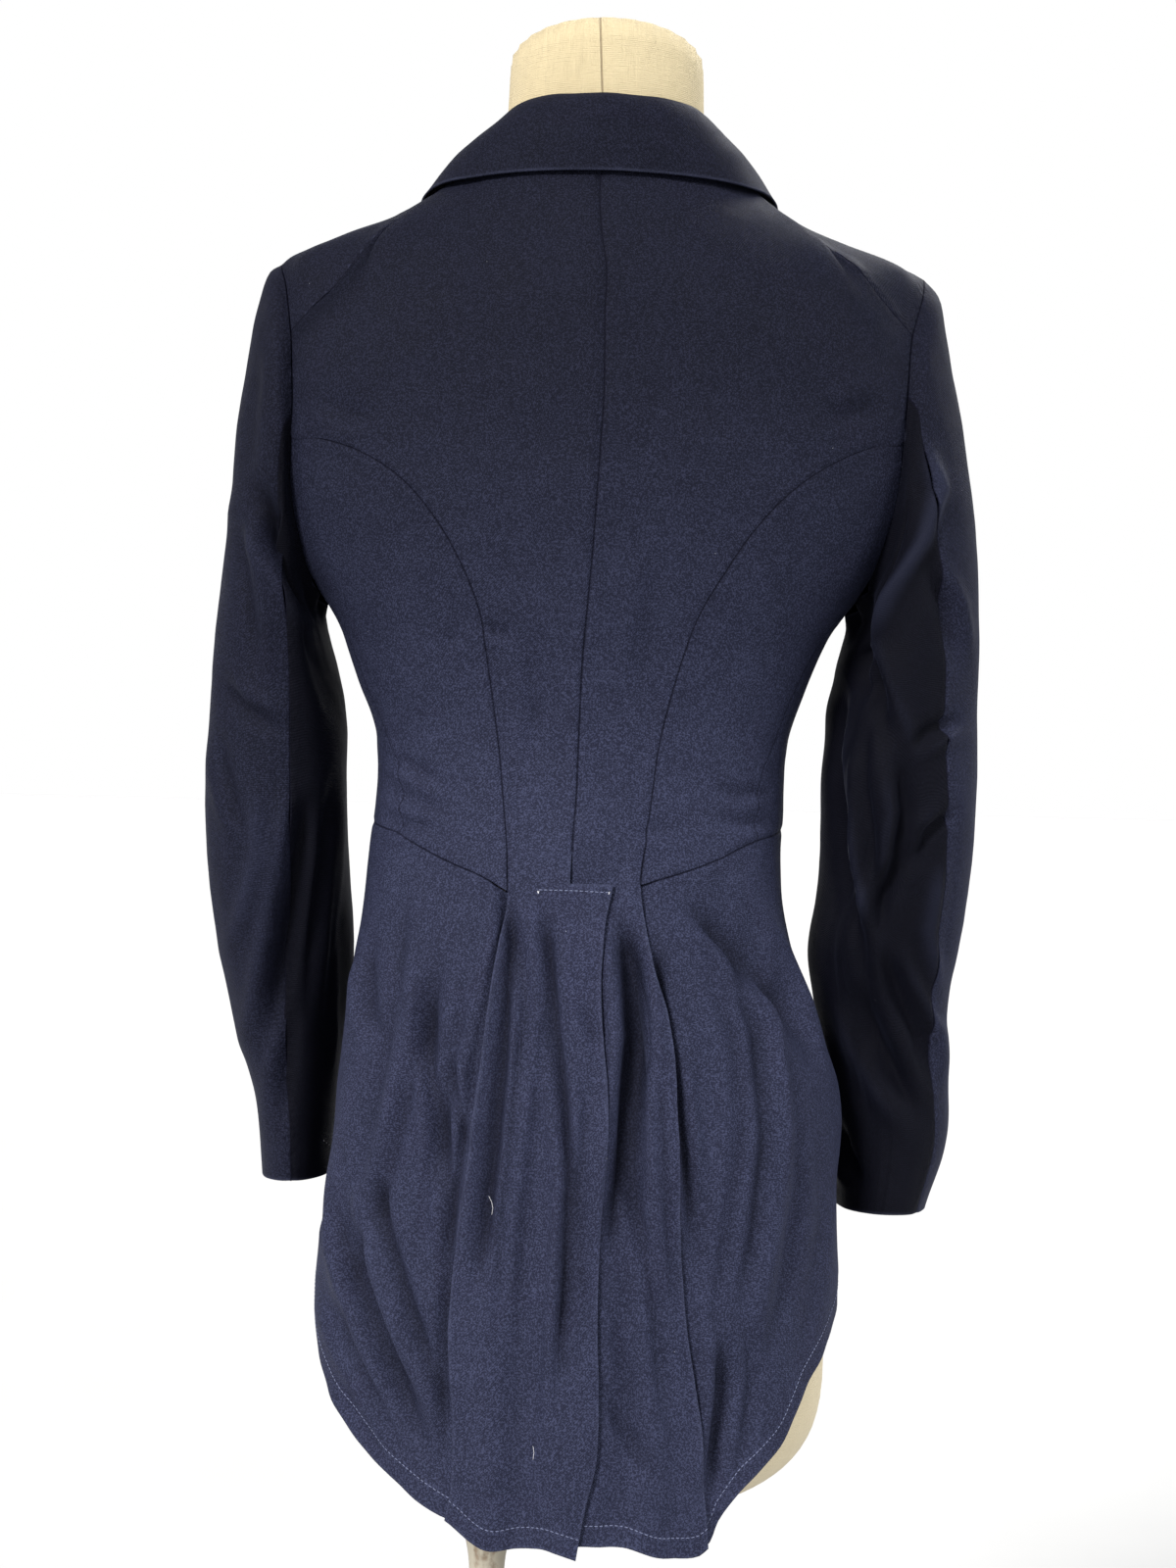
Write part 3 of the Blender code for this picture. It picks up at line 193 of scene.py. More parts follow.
# %% A recipe for a finish
class Recipe(Nodes):
    """A material with a Principled shader. Steady values are set on the shader's own sockets."""

    def __init__(self, name, steady):
        self.material = bpy.data.materials.new(name)
        self.material.use_nodes = True
        super().__init__(self.material.node_tree)
        self.shader = self.tree.nodes["Principled BSDF"]
        self.feed(self.shader, steady)
        self.place = self.node("ShaderNodeTexCoord").outputs["Object"]

    def noise(self, scale, detail=2.0, vector=None):
        vector = self.place if vector is None else vector
        inputs = {"Vector": vector, "Scale": scale, "Detail": detail}
        return Value(self, self.node("ShaderNodeTexNoise", (), inputs).outputs["Fac"])

    def stretched(self, vector, scale):
        """A place drawn out by three factors, for slubs and brush marks."""
        return self.node("ShaderNodeMapping", (), {"Vector": vector, "Scale": scale}).outputs["Vector"]

    def mix(self, share, low, high):
        """A colour between two colours, each a value or its red, green and blue parts."""
        low, high = (end if isinstance(end, Value) else (*end, 1.0) for end in (low, high))
        made = self.node("ShaderNodeMix", {"data_type": "RGBA"}, {0: share, 6: low, 7: high})
        return Value(self, made.outputs[2])

    def attribute(self, name):
        return Value(self, self.node("ShaderNodeAttribute", {"attribute_name": name}).outputs["Fac"])

    def grain(self):
        """The piece's own map, in metres along the cloth."""
        return self.node("ShaderNodeUVMap", {"uv_map": "grain"}).outputs["UV"]

    def finish(self, colour, roughness, height, depth):
        """Feeds the shader: a colour, a roughness, and a relief of that depth in metres."""
        bump = self.node("ShaderNodeBump", (), {"Height": height, "Distance": depth, "Strength": 1.0})
        normal = bump.outputs["Normal"]
        self.feed(self.shader, {"Base Color": colour, "Roughness": roughness, "Normal": normal})
        return self.material


# %% [markdown]
# ## The navy cotton
#
# The coat is cut from a fine cotton drill. Its twill shows as narrow slanting ribs, every yarn is a
# little uneven, the dye is cloudy, edges are rubbed paler, and some pale lint has settled on it. An
# image of cloth would blur close up and couldn't know where a seam is, so each of these is a node
# pattern. The twill follows the map of each piece, so the ribs turn with the cut. The rest follows
# space, or five values that each point of a sheet carries: its distance in millimetres from an edge and
# from a seam, how much painted shade or painted highlight its crease gives it, how much painted light
# or painted shade its piece gets, and whether the piece has a hem. Painted shade darkens the creases
# and the under-sleeves. Painted light makes the ridges beside creases paler, and the lower parts of
# most pieces and the right sleeve.

# %% Colours and measures of the cotton
TURN = 2 * math.pi
CARRIED = ("from_edge", "from_seam", "painted_crease_shading", "painted_lighting", "hemmed")  # the five values
TWILL_PITCH = 0.0012
YARN_PITCH = 0.0006
TWILL_SLANT = 0.8
# colours, and where one varies, its darkest and its palest tone
DYED = ((0.0034, 0.0038, 0.0082), (0.0098, 0.0108, 0.0215))
# painted light: the darkest and palest tone of the cloth where it is painted paler
PAINTED_LIT_TONES = ((0.0118, 0.0132, 0.0270), (0.0330, 0.0375, 0.0720))
# painted shade on the under-sleeves
PAINTED_SHADE_TONE = (0.0018, 0.0019, 0.0040)
# painted shade in the creases
PAINTED_CREASE_SHADE = (0.0017, 0.0018, 0.0040)
# painted highlight on the ridges beside them
PAINTED_RIDGE_HIGHLIGHT = (0.0300, 0.0345, 0.0660)
AT_EDGES = (0.0480, 0.0540, 0.0950)
AT_SEAMS = (0.0030, 0.0030, 0.0075)
LINT = (0.30, 0.31, 0.36)
PAINTED_LIGHT_HEIGHTS = (0.96, 1.30)  # in metres: painted light makes the cloth paler below the first, and not at all above the second
# in millimetres from an edge or a seam
RUBBED_REACH = 2.4
SEAM_LINE = (0.1, 0.8)
PUCKER_REACH = 9.0
STITCHED_AT = 11.5
STITCH_PULL = (0.2, 1.6)
TURNING_STEP = 2.0
# lint: flecks to a metre, their size as a share of their spacing, and the share of places without one
LINT_SCALE, LINT_SIZE, LINT_BARE = 75.0, (0.012, 0.020), (0.86, 0.87)
print("a rib every", TWILL_PITCH, "m, and a yarn every", YARN_PITCH, "m")


# %% Cotton, in one recipe
def woven(along, up, pitch):
    """Yarns that cross, from 0 to 1."""
    return (along * (TURN / pitch)).wave() * 0.5 + (up * (TURN / pitch)).wave() * 0.5


def navy_drill():
    """The coat's cotton, from its twill to its lint."""
    drill = Recipe("navy_drill", {
        "Sheen Weight": 0.02,
        "Sheen Roughness": 0.35,
        "Sheen Tint": (0.45, 0.52, 0.95, 1.0),
        "Specular IOR Level": 0.05,
    })
    grain = drill.grain()
    along, up, _ = drill.parts(grain)
    rib = ((along + up * TWILL_SLANT) * (TURN / TWILL_PITCH)).wave()
    yarn = woven(along, up, YARN_PITCH)
    slub = drill.noise(1.0, 2.0, drill.stretched(grain, (260.0, 40.0, 1.0)))
    fleck = drill.noise(1050.0, 2.0).step(0.42, 0.66)
    cloud = drill.noise(7.0, 3.0)
    mottle = drill.noise(60.0, 4.0)
    crumple = drill.noise(28.0, 3.0)
    pucker = drill.noise(230.0, 1.0)

    from_edge, from_seam, painted_crease_shading, painted_lighting, hemmed = (drill.attribute(name) for name in CARRIED)
    rubbed = 1 - from_edge.step(0.0, RUBBED_REACH)
    seam_line = 1 - from_seam.step(*SEAM_LINE)
    puckered = 1 - from_seam.step(0.0, PUCKER_REACH)
    stitched = hemmed * (1 - (from_edge - STITCHED_AT).math("ABSOLUTE").step(*STITCH_PULL))
    turned = hemmed * (1 - from_edge.step(STITCHED_AT, STITCHED_AT + TURNING_STEP))
    cell = drill.node("ShaderNodeTexVoronoi", (), {"Vector": drill.place, "Scale": LINT_SCALE})
    lint = 1 - Value(drill, cell.outputs["Distance"]).step(*LINT_SIZE)
    lint = lint * drill.parts(cell.outputs["Color"])[0].step(*LINT_BARE)
    height = drill.parts(drill.place)[2]
    painted_lighting_share = (1 - height.step(*PAINTED_LIGHT_HEIGHTS)) * painted_lighting

    tone = cloud * 0.45 + mottle * 0.45 + rib * 0.10 + slub * 0.30 + fleck * 1.00 - 0.66
    # painted light: paler lower down on most pieces, and on the right sleeve
    colour = drill.mix(painted_lighting_share, drill.mix(tone, *DYED), drill.mix(tone, *PAINTED_LIT_TONES))
    # painted shade: the under-sleeves darker all over
    colour = drill.mix((0 - painted_lighting).step(0.0, 1.0), colour, PAINTED_SHADE_TONE)
    # painted shade in the creases
    colour = drill.mix(painted_crease_shading.step(0.0, 1.1) * 0.68, colour, PAINTED_CREASE_SHADE)
    # painted highlight on the ridges beside the creases
    colour = drill.mix((0 - painted_crease_shading).step(0.05, 0.9) * 0.22, colour, PAINTED_RIDGE_HIGHLIGHT)
    colour = drill.mix(rubbed * (0.02 + mottle * 0.40), colour, AT_EDGES)
    colour = drill.mix(seam_line * 0.65, colour, AT_SEAMS)
    colour = drill.mix(lint, colour, LINT)
    roughness = 0.58 + mottle * 0.20 + rib * 0.05
    relief = rib * 0.22 + yarn * 0.12 + slub * 0.22 + crumple * 1.3 + mottle * 0.8 + lint * 0.6
    relief = relief + puckered * pucker * 2.6 - stitched * 0.5 + turned * 0.7
    return drill.finish(colour, roughness, relief, 0.0005)


cotton = navy_drill()
print("cotton:", len(cotton.node_tree.nodes), "nodes")

# %% [markdown]
# ## Reading a sheet of cloth from its solid
#
# Every piece of the coat is a wall of 1.6 mm whose two skins are grids of points. A finer sheet on the
# same form has to know that grid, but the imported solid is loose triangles. So the grid is found again:
# the doubled points are merged, the narrow rim is left out by its cross edges, and from one corner the
# rows are walked cell by cell. Three corners of each outer skin are enough to start.

# %% Three corners of each outer skin
# name, then the corners of the outer skin: first row's start, first row's end, last row's start
CORNERS = (
    ("back_left", (-0.0011, 0.1368, 0.5710), (0.0727, 0.1237, 0.5879), (0.0014, 0.0683, 1.3618)),
    ("back_right", (0.0177, 0.1329, 0.5800), (-0.0749, 0.1210, 0.5749), (0.0011, 0.0683, 1.3618)),
    ("side_back_left", (0.0468, 0.0954, 0.9383), (0.1118, 0.0547, 0.9691), (0.1798, 0.0558, 1.1985)),
    ("side_back_right", (-0.0296, 0.0941, 0.9432), (-0.0979, 0.0534, 0.9691), (-0.1780, 0.0560, 1.2029)),
    ("front_left", (0.1121, 0.0544, 0.9692), (-0.0165, -0.0951, 0.9678), (0.1823, 0.0474, 1.2624)),
    ("front_right", (-0.0981, 0.0531, 0.9692), (0.0321, -0.0984, 0.9682), (-0.1832, 0.0452, 1.2683)),
    ("skirt_left", (0.0564, 0.1269, 0.5880), (-0.0146, -0.1011, 0.9372), (0.0420, 0.0930, 0.9370)),
    ("skirt_right", (-0.0578, 0.1214, 0.5749), (0.0328, -0.1044, 0.9380), (-0.0249, 0.0917, 0.9421)),
    ("sleeve_top_left", (0.1661, -0.0296, 1.1169), (0.1798, 0.0563, 1.2118), (0.1638, -0.0927, 0.7548)),
    ("sleeve_under_left", (0.1798, 0.0563, 1.2114), (0.1660, -0.0293, 1.1166), (0.1768, -0.0021, 0.7545)),
    ("sleeve_top_right", (-0.1560, -0.0274, 1.1150), (-0.1803, 0.0549, 1.2303), (-0.1603, -0.0749, 0.7420)),
    ("sleeve_under_right", (-0.1803, 0.0549, 1.2299), (-0.1559, -0.0270, 1.1148), (-0.2050, -0.0118, 0.7420)),
    ("collar", (-0.0685, -0.0409, 1.3473), (-0.1045, -0.0343, 1.3362), (0.0744, -0.0409, 1.3473)),
    ("lapel_left", (0.0201, -0.1284, 1.1903), (0.0269, -0.1279, 1.1903), (0.0764, -0.0464, 1.3426)),
    ("lapel_right", (0.0233, -0.1301, 1.1350), (0.0169, -0.1305, 1.1350), (-0.0697, -0.0465, 1.3425)),
)
print(len(CORNERS), "pieces of cloth")

# %% The skins of a solid
WALL = 0.0016  # the rim's cross edges are this long
WALL_ERROR = 5e-7  # but for this
CROSSING = 0.35  # and stand at least this upright on the skin
TINY = 1e-12  # keeps a length from being divided by nothing


def unit(vectors):
    return vectors / np.maximum(np.linalg.norm(vectors, axis=-1, keepdims=True), TINY)


def reaches(points, axis=0):
    """How far each point lies along its line, counted over the points before it."""
    steps = np.linalg.norm(np.diff(points, axis=axis), axis=-1)
    start = np.zeros_like(np.take(steps, [0], axis=axis))
    return np.concatenate([start, np.cumsum(steps, axis=axis)], axis=axis)


def loop_points(mesh):
    """The number of the point at each corner of the faces."""
    numbers = np.empty(len(mesh.loops), np.int32)
    mesh.loops.foreach_get("vertex_index", numbers)
    return numbers


def merged(node):
    """A node's points, each once, and its triangles."""
    mesh = frame["nodes"][node].data
    points = np.empty(len(mesh.vertices) * 3, np.float32)
    mesh.vertices.foreach_get("co", points)
    unique, place = np.unique(points.reshape(-1, 3), axis=0, return_inverse=True)
    return unique.astype(float), place.reshape(-1)[loop_points(mesh)].reshape(-1, 3)


def skin_of(points, triangles):
    """The triangles of both skins, without the rim, whose cross edges point straight out of the cloth."""
    corners = points[triangles]
    facing = np.cross(corners[:, 1] - corners[:, 0], corners[:, 2] - corners[:, 0])
    normals = np.zeros_like(points)
    for k in range(3):
        np.add.at(normals, triangles[:, k], facing)
    normals = unit(normals)
    edges = corners - np.roll(corners, 1, axis=1)
    lengths = np.linalg.norm(edges, axis=2)
    outward = np.abs(np.sum(edges * normals[triangles], axis=2)) / lengths
    crossing = (np.abs(lengths - WALL) < WALL_ERROR) & (outward > CROSSING)
    return triangles[~crossing.any(axis=1)]


collar_points, collar_triangles = merged("collar")
print(f"the collar has {len(collar_points)} points, {len(collar_triangles)} triangles,",
      f"and {len(skin_of(collar_points, collar_triangles))} of them on its skins")


# %% The outer skin as a grid
def found_grid(node, start, along, up):
    """The outer skin as rows of point numbers (-1 where it has none), all the points, and the way out."""
    points, triangles = merged(node)
    skin = skin_of(points, triangles)
    beyond, rim = {}, {}
    for a, b, c in skin.tolist():
        for edge, other in (((a, b), c), ((b, c), a), ((c, a), b)):
            beyond.setdefault(frozenset(edge), []).append(other)
    for edge, others in beyond.items():
        if len(others) == 1:
            a, b = edge
            rim.setdefault(a, []).append(b)
            rim.setdefault(b, []).append(a)
    on_rim = np.array(sorted(rim))
    first, last, top = (
        int(on_rim[np.argmin(np.linalg.norm(points[on_rim] - spot, axis=1))]) for spot in (start, along, up)
    )
    walks = {}
    for second in rim[first]:
        walk = [first, second]
        while walk[-1] not in (last, top):
            one, other = rim[walk[-1]]
            walk.append(other if one == walk[-2] else one)
        walks[walk[-1]] = walk
    rows, inset = [walks[last]], 0
    for lead in walks[top][1:]:
        if lead in rows[-1]:
            inset += 1
            continue
        below = set(rows[-2]) if len(rows) > 1 else set()
        row = [-1] * inset + [lead]
        for k in range(inset, len(rows[0]) - 1):
            low, low_next = rows[-1][k], rows[-1][k + 1]
            tops = [spot for spot in beyond[frozenset((low, low_next))] if spot not in below]
            if row[k] in tops:
                across = [spot for spot in beyond[frozenset((low_next, row[k]))] if spot != low]
                row.append(across[0])
            else:
                row.append(tops[0])
        rows.append(row)
    grid = np.array(rows)
    faces_out = np.cross(points[skin[:, 1]] - points[skin[:, 0]], points[skin[:, 2]] - points[skin[:, 0]])
    near = np.any(skin == grid[0, 0], axis=1)
    return grid, points, faces_out[near].sum(axis=0)


# %% [markdown]
# ## A finer sheet through the same points
#
# The found grid is coarse, and creases need cells of a few millimetres. A Subdivision Surface would
# pull the sheet in from its points and open the seams. So the sheet is carried on by a cubic curve in
# each direction, which passes through every point of the solid.

# %% Refine a grid
CELL = 0.0034  # size of a fine cell
EDGE_ROWS = np.array([0.0007, 0.0019])  # extra rows this far from an edge, for the turn of a seam
LEAST_ROW = 0.0004  # but no closer than this to another row


def cubic(values, spots, fine):
    """Reads rows of points, given at the spots, at finer spots on a smooth curve through them."""
    step = np.diff(spots)[:, None, None]
    slope = np.diff(values, axis=0) / step
    tangent = np.empty_like(values)
    tangent[0], tangent[-1] = slope[0], slope[-1]
    tangent[1:-1] = (step[1:] * slope[:-1] + step[:-1] * slope[1:]) / (step[1:] + step[:-1])
    k = np.clip(np.searchsorted(spots, fine, side="right") - 1, 0, len(spots) - 2)
    span = step[k]
    t = ((fine - spots[k]) / np.diff(spots)[k])[:, None, None]
    return (
        (2 * t**3 - 3 * t**2 + 1) * values[k]
        + (t**3 - 2 * t**2 + t) * span * tangent[k]
        + (3 * t**2 - 2 * t**3) * values[k + 1]
        + (t**3 - t**2) * span * tangent[k + 1]
    )


def fine_spots(values):
    """The mean places of the rows along the sheet, and places between them about a cell apart."""
    steps = np.nanmean(np.linalg.norm(np.diff(values, axis=0), axis=2), axis=1)
    spots = np.concatenate([[0.0], np.cumsum(steps)])
    parts = np.maximum(1, np.round(steps / CELL).astype(int))
    pieces = [np.linspace(a, b, n, endpoint=False) for a, b, n in zip(spots[:-1], spots[1:], parts)]
    fine = np.append(np.concatenate(pieces), spots[-1])
    for extra in np.concatenate([spots[0] + EDGE_ROWS, spots[-1] - EDGE_ROWS]):
        if np.abs(fine - extra).min() > LEAST_ROW:
            fine = np.sort(np.append(fine, extra))
    owner = np.searchsorted(spots, (fine[1:] + fine[:-1]) / 2) - 1
    return spots, fine, owner


# %% Refine every grid
def grid_normals(sheet):
    """The way out of a sheet, or the way in, at each of its points."""
    return unit(np.cross(np.gradient(sheet, axis=1), np.gradient(sheet, axis=0)))


def fine_sheet(node, start, along, up):
    """Fine points of a piece's outer skin, which cells are cloth, and the side that faces out."""
    grid, points, out = found_grid(node, start, along, up)
    coarse = points[grid]
    missing = grid < 0
    whole = ~(missing[:-1, :-1] | missing[1:, :-1] | missing[:-1, 1:] | missing[1:, 1:])
    for row, column in zip(*np.nonzero(missing)):
        inset = np.argmax(~missing[row])
        full = np.nonzero(~missing[:, column])[0][-1]
        coarse[row, column] = coarse[row, inset] + coarse[full, column] - coarse[full, inset]
    sheet, owners = coarse, []
    for _ in range(2):  # down the rows, and then across them
        spots, fine, owner = fine_spots(coarse)
        sheet = np.swapaxes(cubic(sheet, spots, fine), 0, 1)
        coarse = np.swapaxes(coarse, 0, 1)
        owners.append(owner)
    normal = grid_normals(sheet)
    if normal[0, 0] @ out < 0:
        normal = -normal
    return sheet, whole[np.ix_(*owners)], normal


sheets = {name: fine_sheet(name, *map(np.array, corners)) for name, *corners in CORNERS}
for name, (sheet, cloth, _) in sheets.items():
    print(f"{name}: {sheet.shape[0]} x {sheet.shape[1]} points, {int(cloth.sum())} cells")

# %% [markdown]
# ## Creases, one by one
#
# A worn coat creases where it is pulled and where it has spare cloth: under the arms, at the elbows,
# round the waist and down the tails. A cloth simulation would make creases of its own, in other
# places, so each is given one by one: a short row of points in the picture, with a width in picture dots
# and a depth in millimetres. A negative depth is a soft raised ridge. The front isn't in the
# photograph, so it has creases of the same kind, placed as if the camera saw it in a mirror.

# %% Creases of the left sleeve
# For a piece or group, and a side (1 behind, -1 in front): rows of width, depth, ridge and the points.
# The ridge is a share of the depth, raised beside the crease, and below 0 it is on the other side.
CREASES = {}
CREASES["sleeve_left", 1] = (
    (14, 6.5, 0.3, (252, 480), (266, 512), (284, 545), (312, 590), (338, 632), (350, 680)),
    (8, 2.4, -0.6, (248, 500), (244, 560), (256, 640), (262, 710)),
    (8, 2.8, -0.6, (218, 684), (244, 720), (292, 752)),
    (7, 2.2, 0.5, (222, 735), (228, 780), (240, 826), (262, 868)),
    (10, -3.0, 0.0, (258, 790), (264, 870), (248, 935), (222, 990)),
    (12, 5.2, 0.6, (318, 800), (306, 880), (292, 960), (280, 1035), (258, 1100)),
    (7, 2.4, -0.6, (340, 780), (332, 880), (318, 980), (312, 1060)),
    (5, -1.0, 0.0, (342, 930), (341, 1020), (340, 1130)),
    (9, 2.0, 0.5, (302, 1010), (292, 1090), (286, 1170)),
    (9, 1.8, 0.5, (264, 340), (254, 440), (250, 520)),
)
print(sum(map(len, CREASES.values())), "creases so far")

# %% Creases of the right sleeve
CREASES["sleeve_right", 1] = (
    (10, -4.6, 0.0, (940, 440), (956, 500), (940, 552), (908, 606),
     (890, 650), (902, 694), (922, 740), (940, 800)),
    (17, 8.8, 0.0, (926, 500), (904, 548), (874, 606), (876, 664), (896, 716), (914, 790)),
    (9, 4.3, 0.6, (916, 760), (926, 830), (918, 880), (898, 930), (884, 985)),
    (8, 3.5, -0.5, (858, 680), (854, 775), (861, 880), (880, 990), (894, 1050)),
    (7, 3.0, 0.6, (880, 720), (878, 800), (892, 900), (912, 980)),
    (7, 3.8, 0.6, (926, 768), (946, 748), (984, 730)),
    (7, 3.0, -0.6, (930, 896), (948, 850), (982, 820)),
    (8, 3.2, -0.5, (940, 560), (966, 620), (976, 690)),
    (9, 4.1, -0.6, (896, 960), (916, 1010), (940, 1060), (952, 1120)),
    (12, 4.9, 0.5, (870, 1000), (890, 1060), (920, 1110), (950, 1160)),
    (7, 3.5, 0.6, (846, 1130), (862, 1180), (886, 1215)),
    (9, -3.0, 0.0, (962, 860), (946, 950), (962, 1040)),
)
print(sum(map(len, CREASES.values())), "creases so far")

# %% Creases of the back, the tails and the skirts
CREASES["coat", 1] = (
    (8, 2.6, 0.6, (380, 935), (374, 985), (376, 1030), (392, 1085)),
    (7, 1.8, -0.5, (412, 905), (404, 1000), (382, 1120), (352, 1260)),
    (8, 2.2, 0.5, (452, 960), (430, 1060), (400, 1180), (352, 1330)),
    (8, 2.8, 0.5, (432, 1000), (438, 1090), (452, 1187), (462, 1290)),
    (6, 1.9, -0.6, (446, 1050), (462, 1120), (480, 1190)),
    (6, 1.6, 0.5, (478, 990), (456, 1100), (436, 1220), (420, 1330)),
    (9, 3.6, 0.5, (372, 1180), (392, 1260), (415, 1335), (440, 1400), (466, 1470)),
    (8, 3.2, 0.6, (334, 1215), (359, 1300), (388, 1378), (418, 1440), (454, 1520)),
    (7, 2.6, -0.5, (352, 1225), (376, 1310), (402, 1385), (434, 1455)),
    (7, 2.4, 0.6, (330, 1310), (352, 1372), (384, 1432), (424, 1500)),
    (6, 1.4, 0.5, (338, 1400), (366, 1450), (402, 1495)),
    (9, 4.0, 0.6, (516, 900), (523, 960), (514, 1030), (506, 1110), (494, 1230), (486, 1350)),
    (7, 2.0, -0.5, (534, 930), (538, 1030), (524, 1130), (510, 1260), (506, 1400)),
    (9, 3.8, 0.5, (556, 912), (559, 985), (562, 1051), (573, 1124),
     (582, 1210), (578, 1320), (566, 1455)),
    (6, 1.6, -0.5, (548, 1010), (550, 1110), (562, 1200), (556, 1330), (540, 1500)),
    (6, 1.6, 0.4, (596, 1010), (602, 1050), (616, 1080)),
    (6, 1.5, 0.5, (600, 1100), (594, 1220), (596, 1330), (588, 1450)),
    (10, 4.8, 0.5, (628, 925), (642, 983), (648, 1055), (640, 1140), (630, 1220), (624, 1320)),
    (8, 2.6, -0.5, (645, 930), (652, 1000), (655, 1080), (648, 1180), (644, 1290)),
    (6, 2.0, 0.5, (666, 1060), (677, 1160), (684, 1260), (698, 1370)),
    (7, 2.0, 0.5, (640, 1180), (654, 1262), (668, 1340), (676, 1420), (694, 1500)),
    (8, 1.7, 0.4, (606, 1400), (634, 1455), (674, 1530)),
    (6, 1.4, -0.5, (622, 1330), (640, 1400), (650, 1500)),
    (10, 3.8, 0.6, (692, 912), (748, 965), (800, 1025), (838, 1092)),
    (7, -1.6, 0.0, (740, 880), (784, 940), (826, 1020), (846, 1110)),
    (8, 1.9, 0.5, (720, 985), (752, 1060), (756, 1160), (742, 1270), (724, 1390)),
    (9, 3.0, -0.6, (740, 960), (776, 1050), (784, 1160), (772, 1270), (750, 1380)),
    (7, 1.1, 0.5, (780, 1000), (812, 1100), (814, 1210), (798, 1330), (772, 1440)),
    (6, 0.9, 0.5, (706, 1060), (722, 1160), (724, 1260), (716, 1350)),
    (7, 1.0, -0.5, (832, 1140), (838, 1230), (828, 1330), (806, 1420)),
    (8, 3.4, 0.6, (740, 1350), (738, 1420), (730, 1480), (720, 1550)),
    (7, 2.0, 0.5, (764, 1340), (768, 1410), (760, 1470), (744, 1540)),
    (6, 1.5, 0.6, (489, 636), (506, 645), (525, 651)),
    (8, 1.4, 0.0, (455, 648), (467, 655)),
    (7, 1.3, 0.7, (390, 768), (420, 782), (462, 806)),
    (7, 1.3, 0.7, (388, 800), (418, 815), (458, 826)),
    (7, 1.4, 0.7, (386, 833), (416, 842), (452, 842)),
    (7, 1.5, 0.7, (637, 853), (668, 846), (703, 850)),
    (7, 1.3, 0.6, (720, 800), (752, 812), (794, 806)),
    (7, 1.2, 0.6, (728, 836), (760, 842), (796, 836)),
    (10, 1.2, 0.5, (540, 640), (548, 720), (546, 800)),
    (10, 1.2, 0.5, (668, 560), (660, 640), (654, 720)),
    (10, 1.6, 0.5, (330, 400), (352, 420), (388, 430)),
    (10, 1.6, 0.5, (905, 400), (880, 420), (842, 432)),
)
CREASES["skirt_left", 1] = (
    (6, 2.8, 0.0, (514, 930), (492, 1055), (471, 1180), (458, 1255), (453, 1380), (450, 1540)),
)
CREASES["skirt_right", 1] = (
    (9, 4.0, 0.4, (664, 945), (676, 1030), (692, 1115), (705, 1205), (716, 1320)),
)
print(sum(map(len, CREASES.values())), "creases so far")

# %% Creases of the front
CREASES["coat", -1] = (
    (11, 3.0, 0.6, (330, 560), (372, 590), (430, 604)),
    (10, 2.2, 0.6, (345, 520), (396, 540), (440, 540)),
    (11, 3.0, 0.6, (880, 560), (838, 590), (780, 604)),
    (10, 2.2, 0.6, (862, 520), (812, 540), (770, 540)),
    (9, 2.0, 0.7, (400, 770), (470, 790), (560, 786)),
    (9, 1.8, 0.7, (398, 822), (460, 832), (545, 826)),
    (9, 2.0, 0.7, (800, 770), (740, 788), (660, 786)),
    (9, 1.8, 0.7, (796, 826), (740, 836), (664, 828)),
    (13, 4.4, 0.5, (430, 890), (424, 980), (396, 1080), (380, 1180)),
    (12, 3.4, 0.5, (500, 880), (476, 960), (446, 1040)),
    (13, 4.4, 0.5, (770, 890), (778, 980), (806, 1080), (822, 1180)),
    (12, 3.4, 0.5, (700, 880), (724, 960), (758, 1040)),
)
CREASES["sleeve_left", -1] = (
    (11, 3.4, 0.6, (330, 700), (290, 730), (246, 745)),
    (11, 4.2, 0.6, (340, 780), (300, 812), (240, 830)),
    (10, 3.0, 0.6, (338, 850), (300, 880), (252, 890)),
    (11, 3.0, 0.5, (300, 980), (290, 1060), (300, 1130)),
)
CREASES["sleeve_right", -1] = (
    (11, 3.4, 0.6, (870, 700), (914, 730), (958, 745)),
    (11, 4.2, 0.6, (860, 784), (904, 812), (964, 826)),
    (10, 3.0, 0.6, (864, 850), (906, 884), (958, 892)),
    (11, 3.0, 0.5, (906, 980), (914, 1060), (904, 1150)),
)
print(sum(map(len, CREASES.values())), "creases so far")

# %% How a crease bends the cloth
DEPTH_GAIN = 1.9  # the depths above count this many times over
MILLIMETRE = 0.001
TAPER = (60.0, 130.0)  # a crease fades in and out over this many dots
SHORT_TAPER = 0.42  # or over this share of its length, when it is short
TIP = 0.03  # and has already come this far at its very tip
RIDGE_AT = 1.9  # the ridge beside a crease, in crease widths from its middle
RIDGE_WIDTH = 0.9  # and how wide it is
RIDGE_LIGHT = 0.7  # how much of its height becomes painted highlight, against the painted shade
FULL_PAINTED_SHADE = 4.5  # a crease this deep, in millimetres, gets the full painted shade
EDGE_FADE = (-0.05, 0.35)  # how far a surface has to face a side to be creased from it
deepest = max(depth for rows in CREASES.values() for _, depth, *_ in rows)
print(f"the deepest crease is {deepest * DEPTH_GAIN:.1f} mm deep")


def ease(value):
    """0 below 0, 1 above 1, and a smooth rise between."""
    value = np.clip(value, 0.0, 1.0)
    return value * value * (3 - 2 * value)


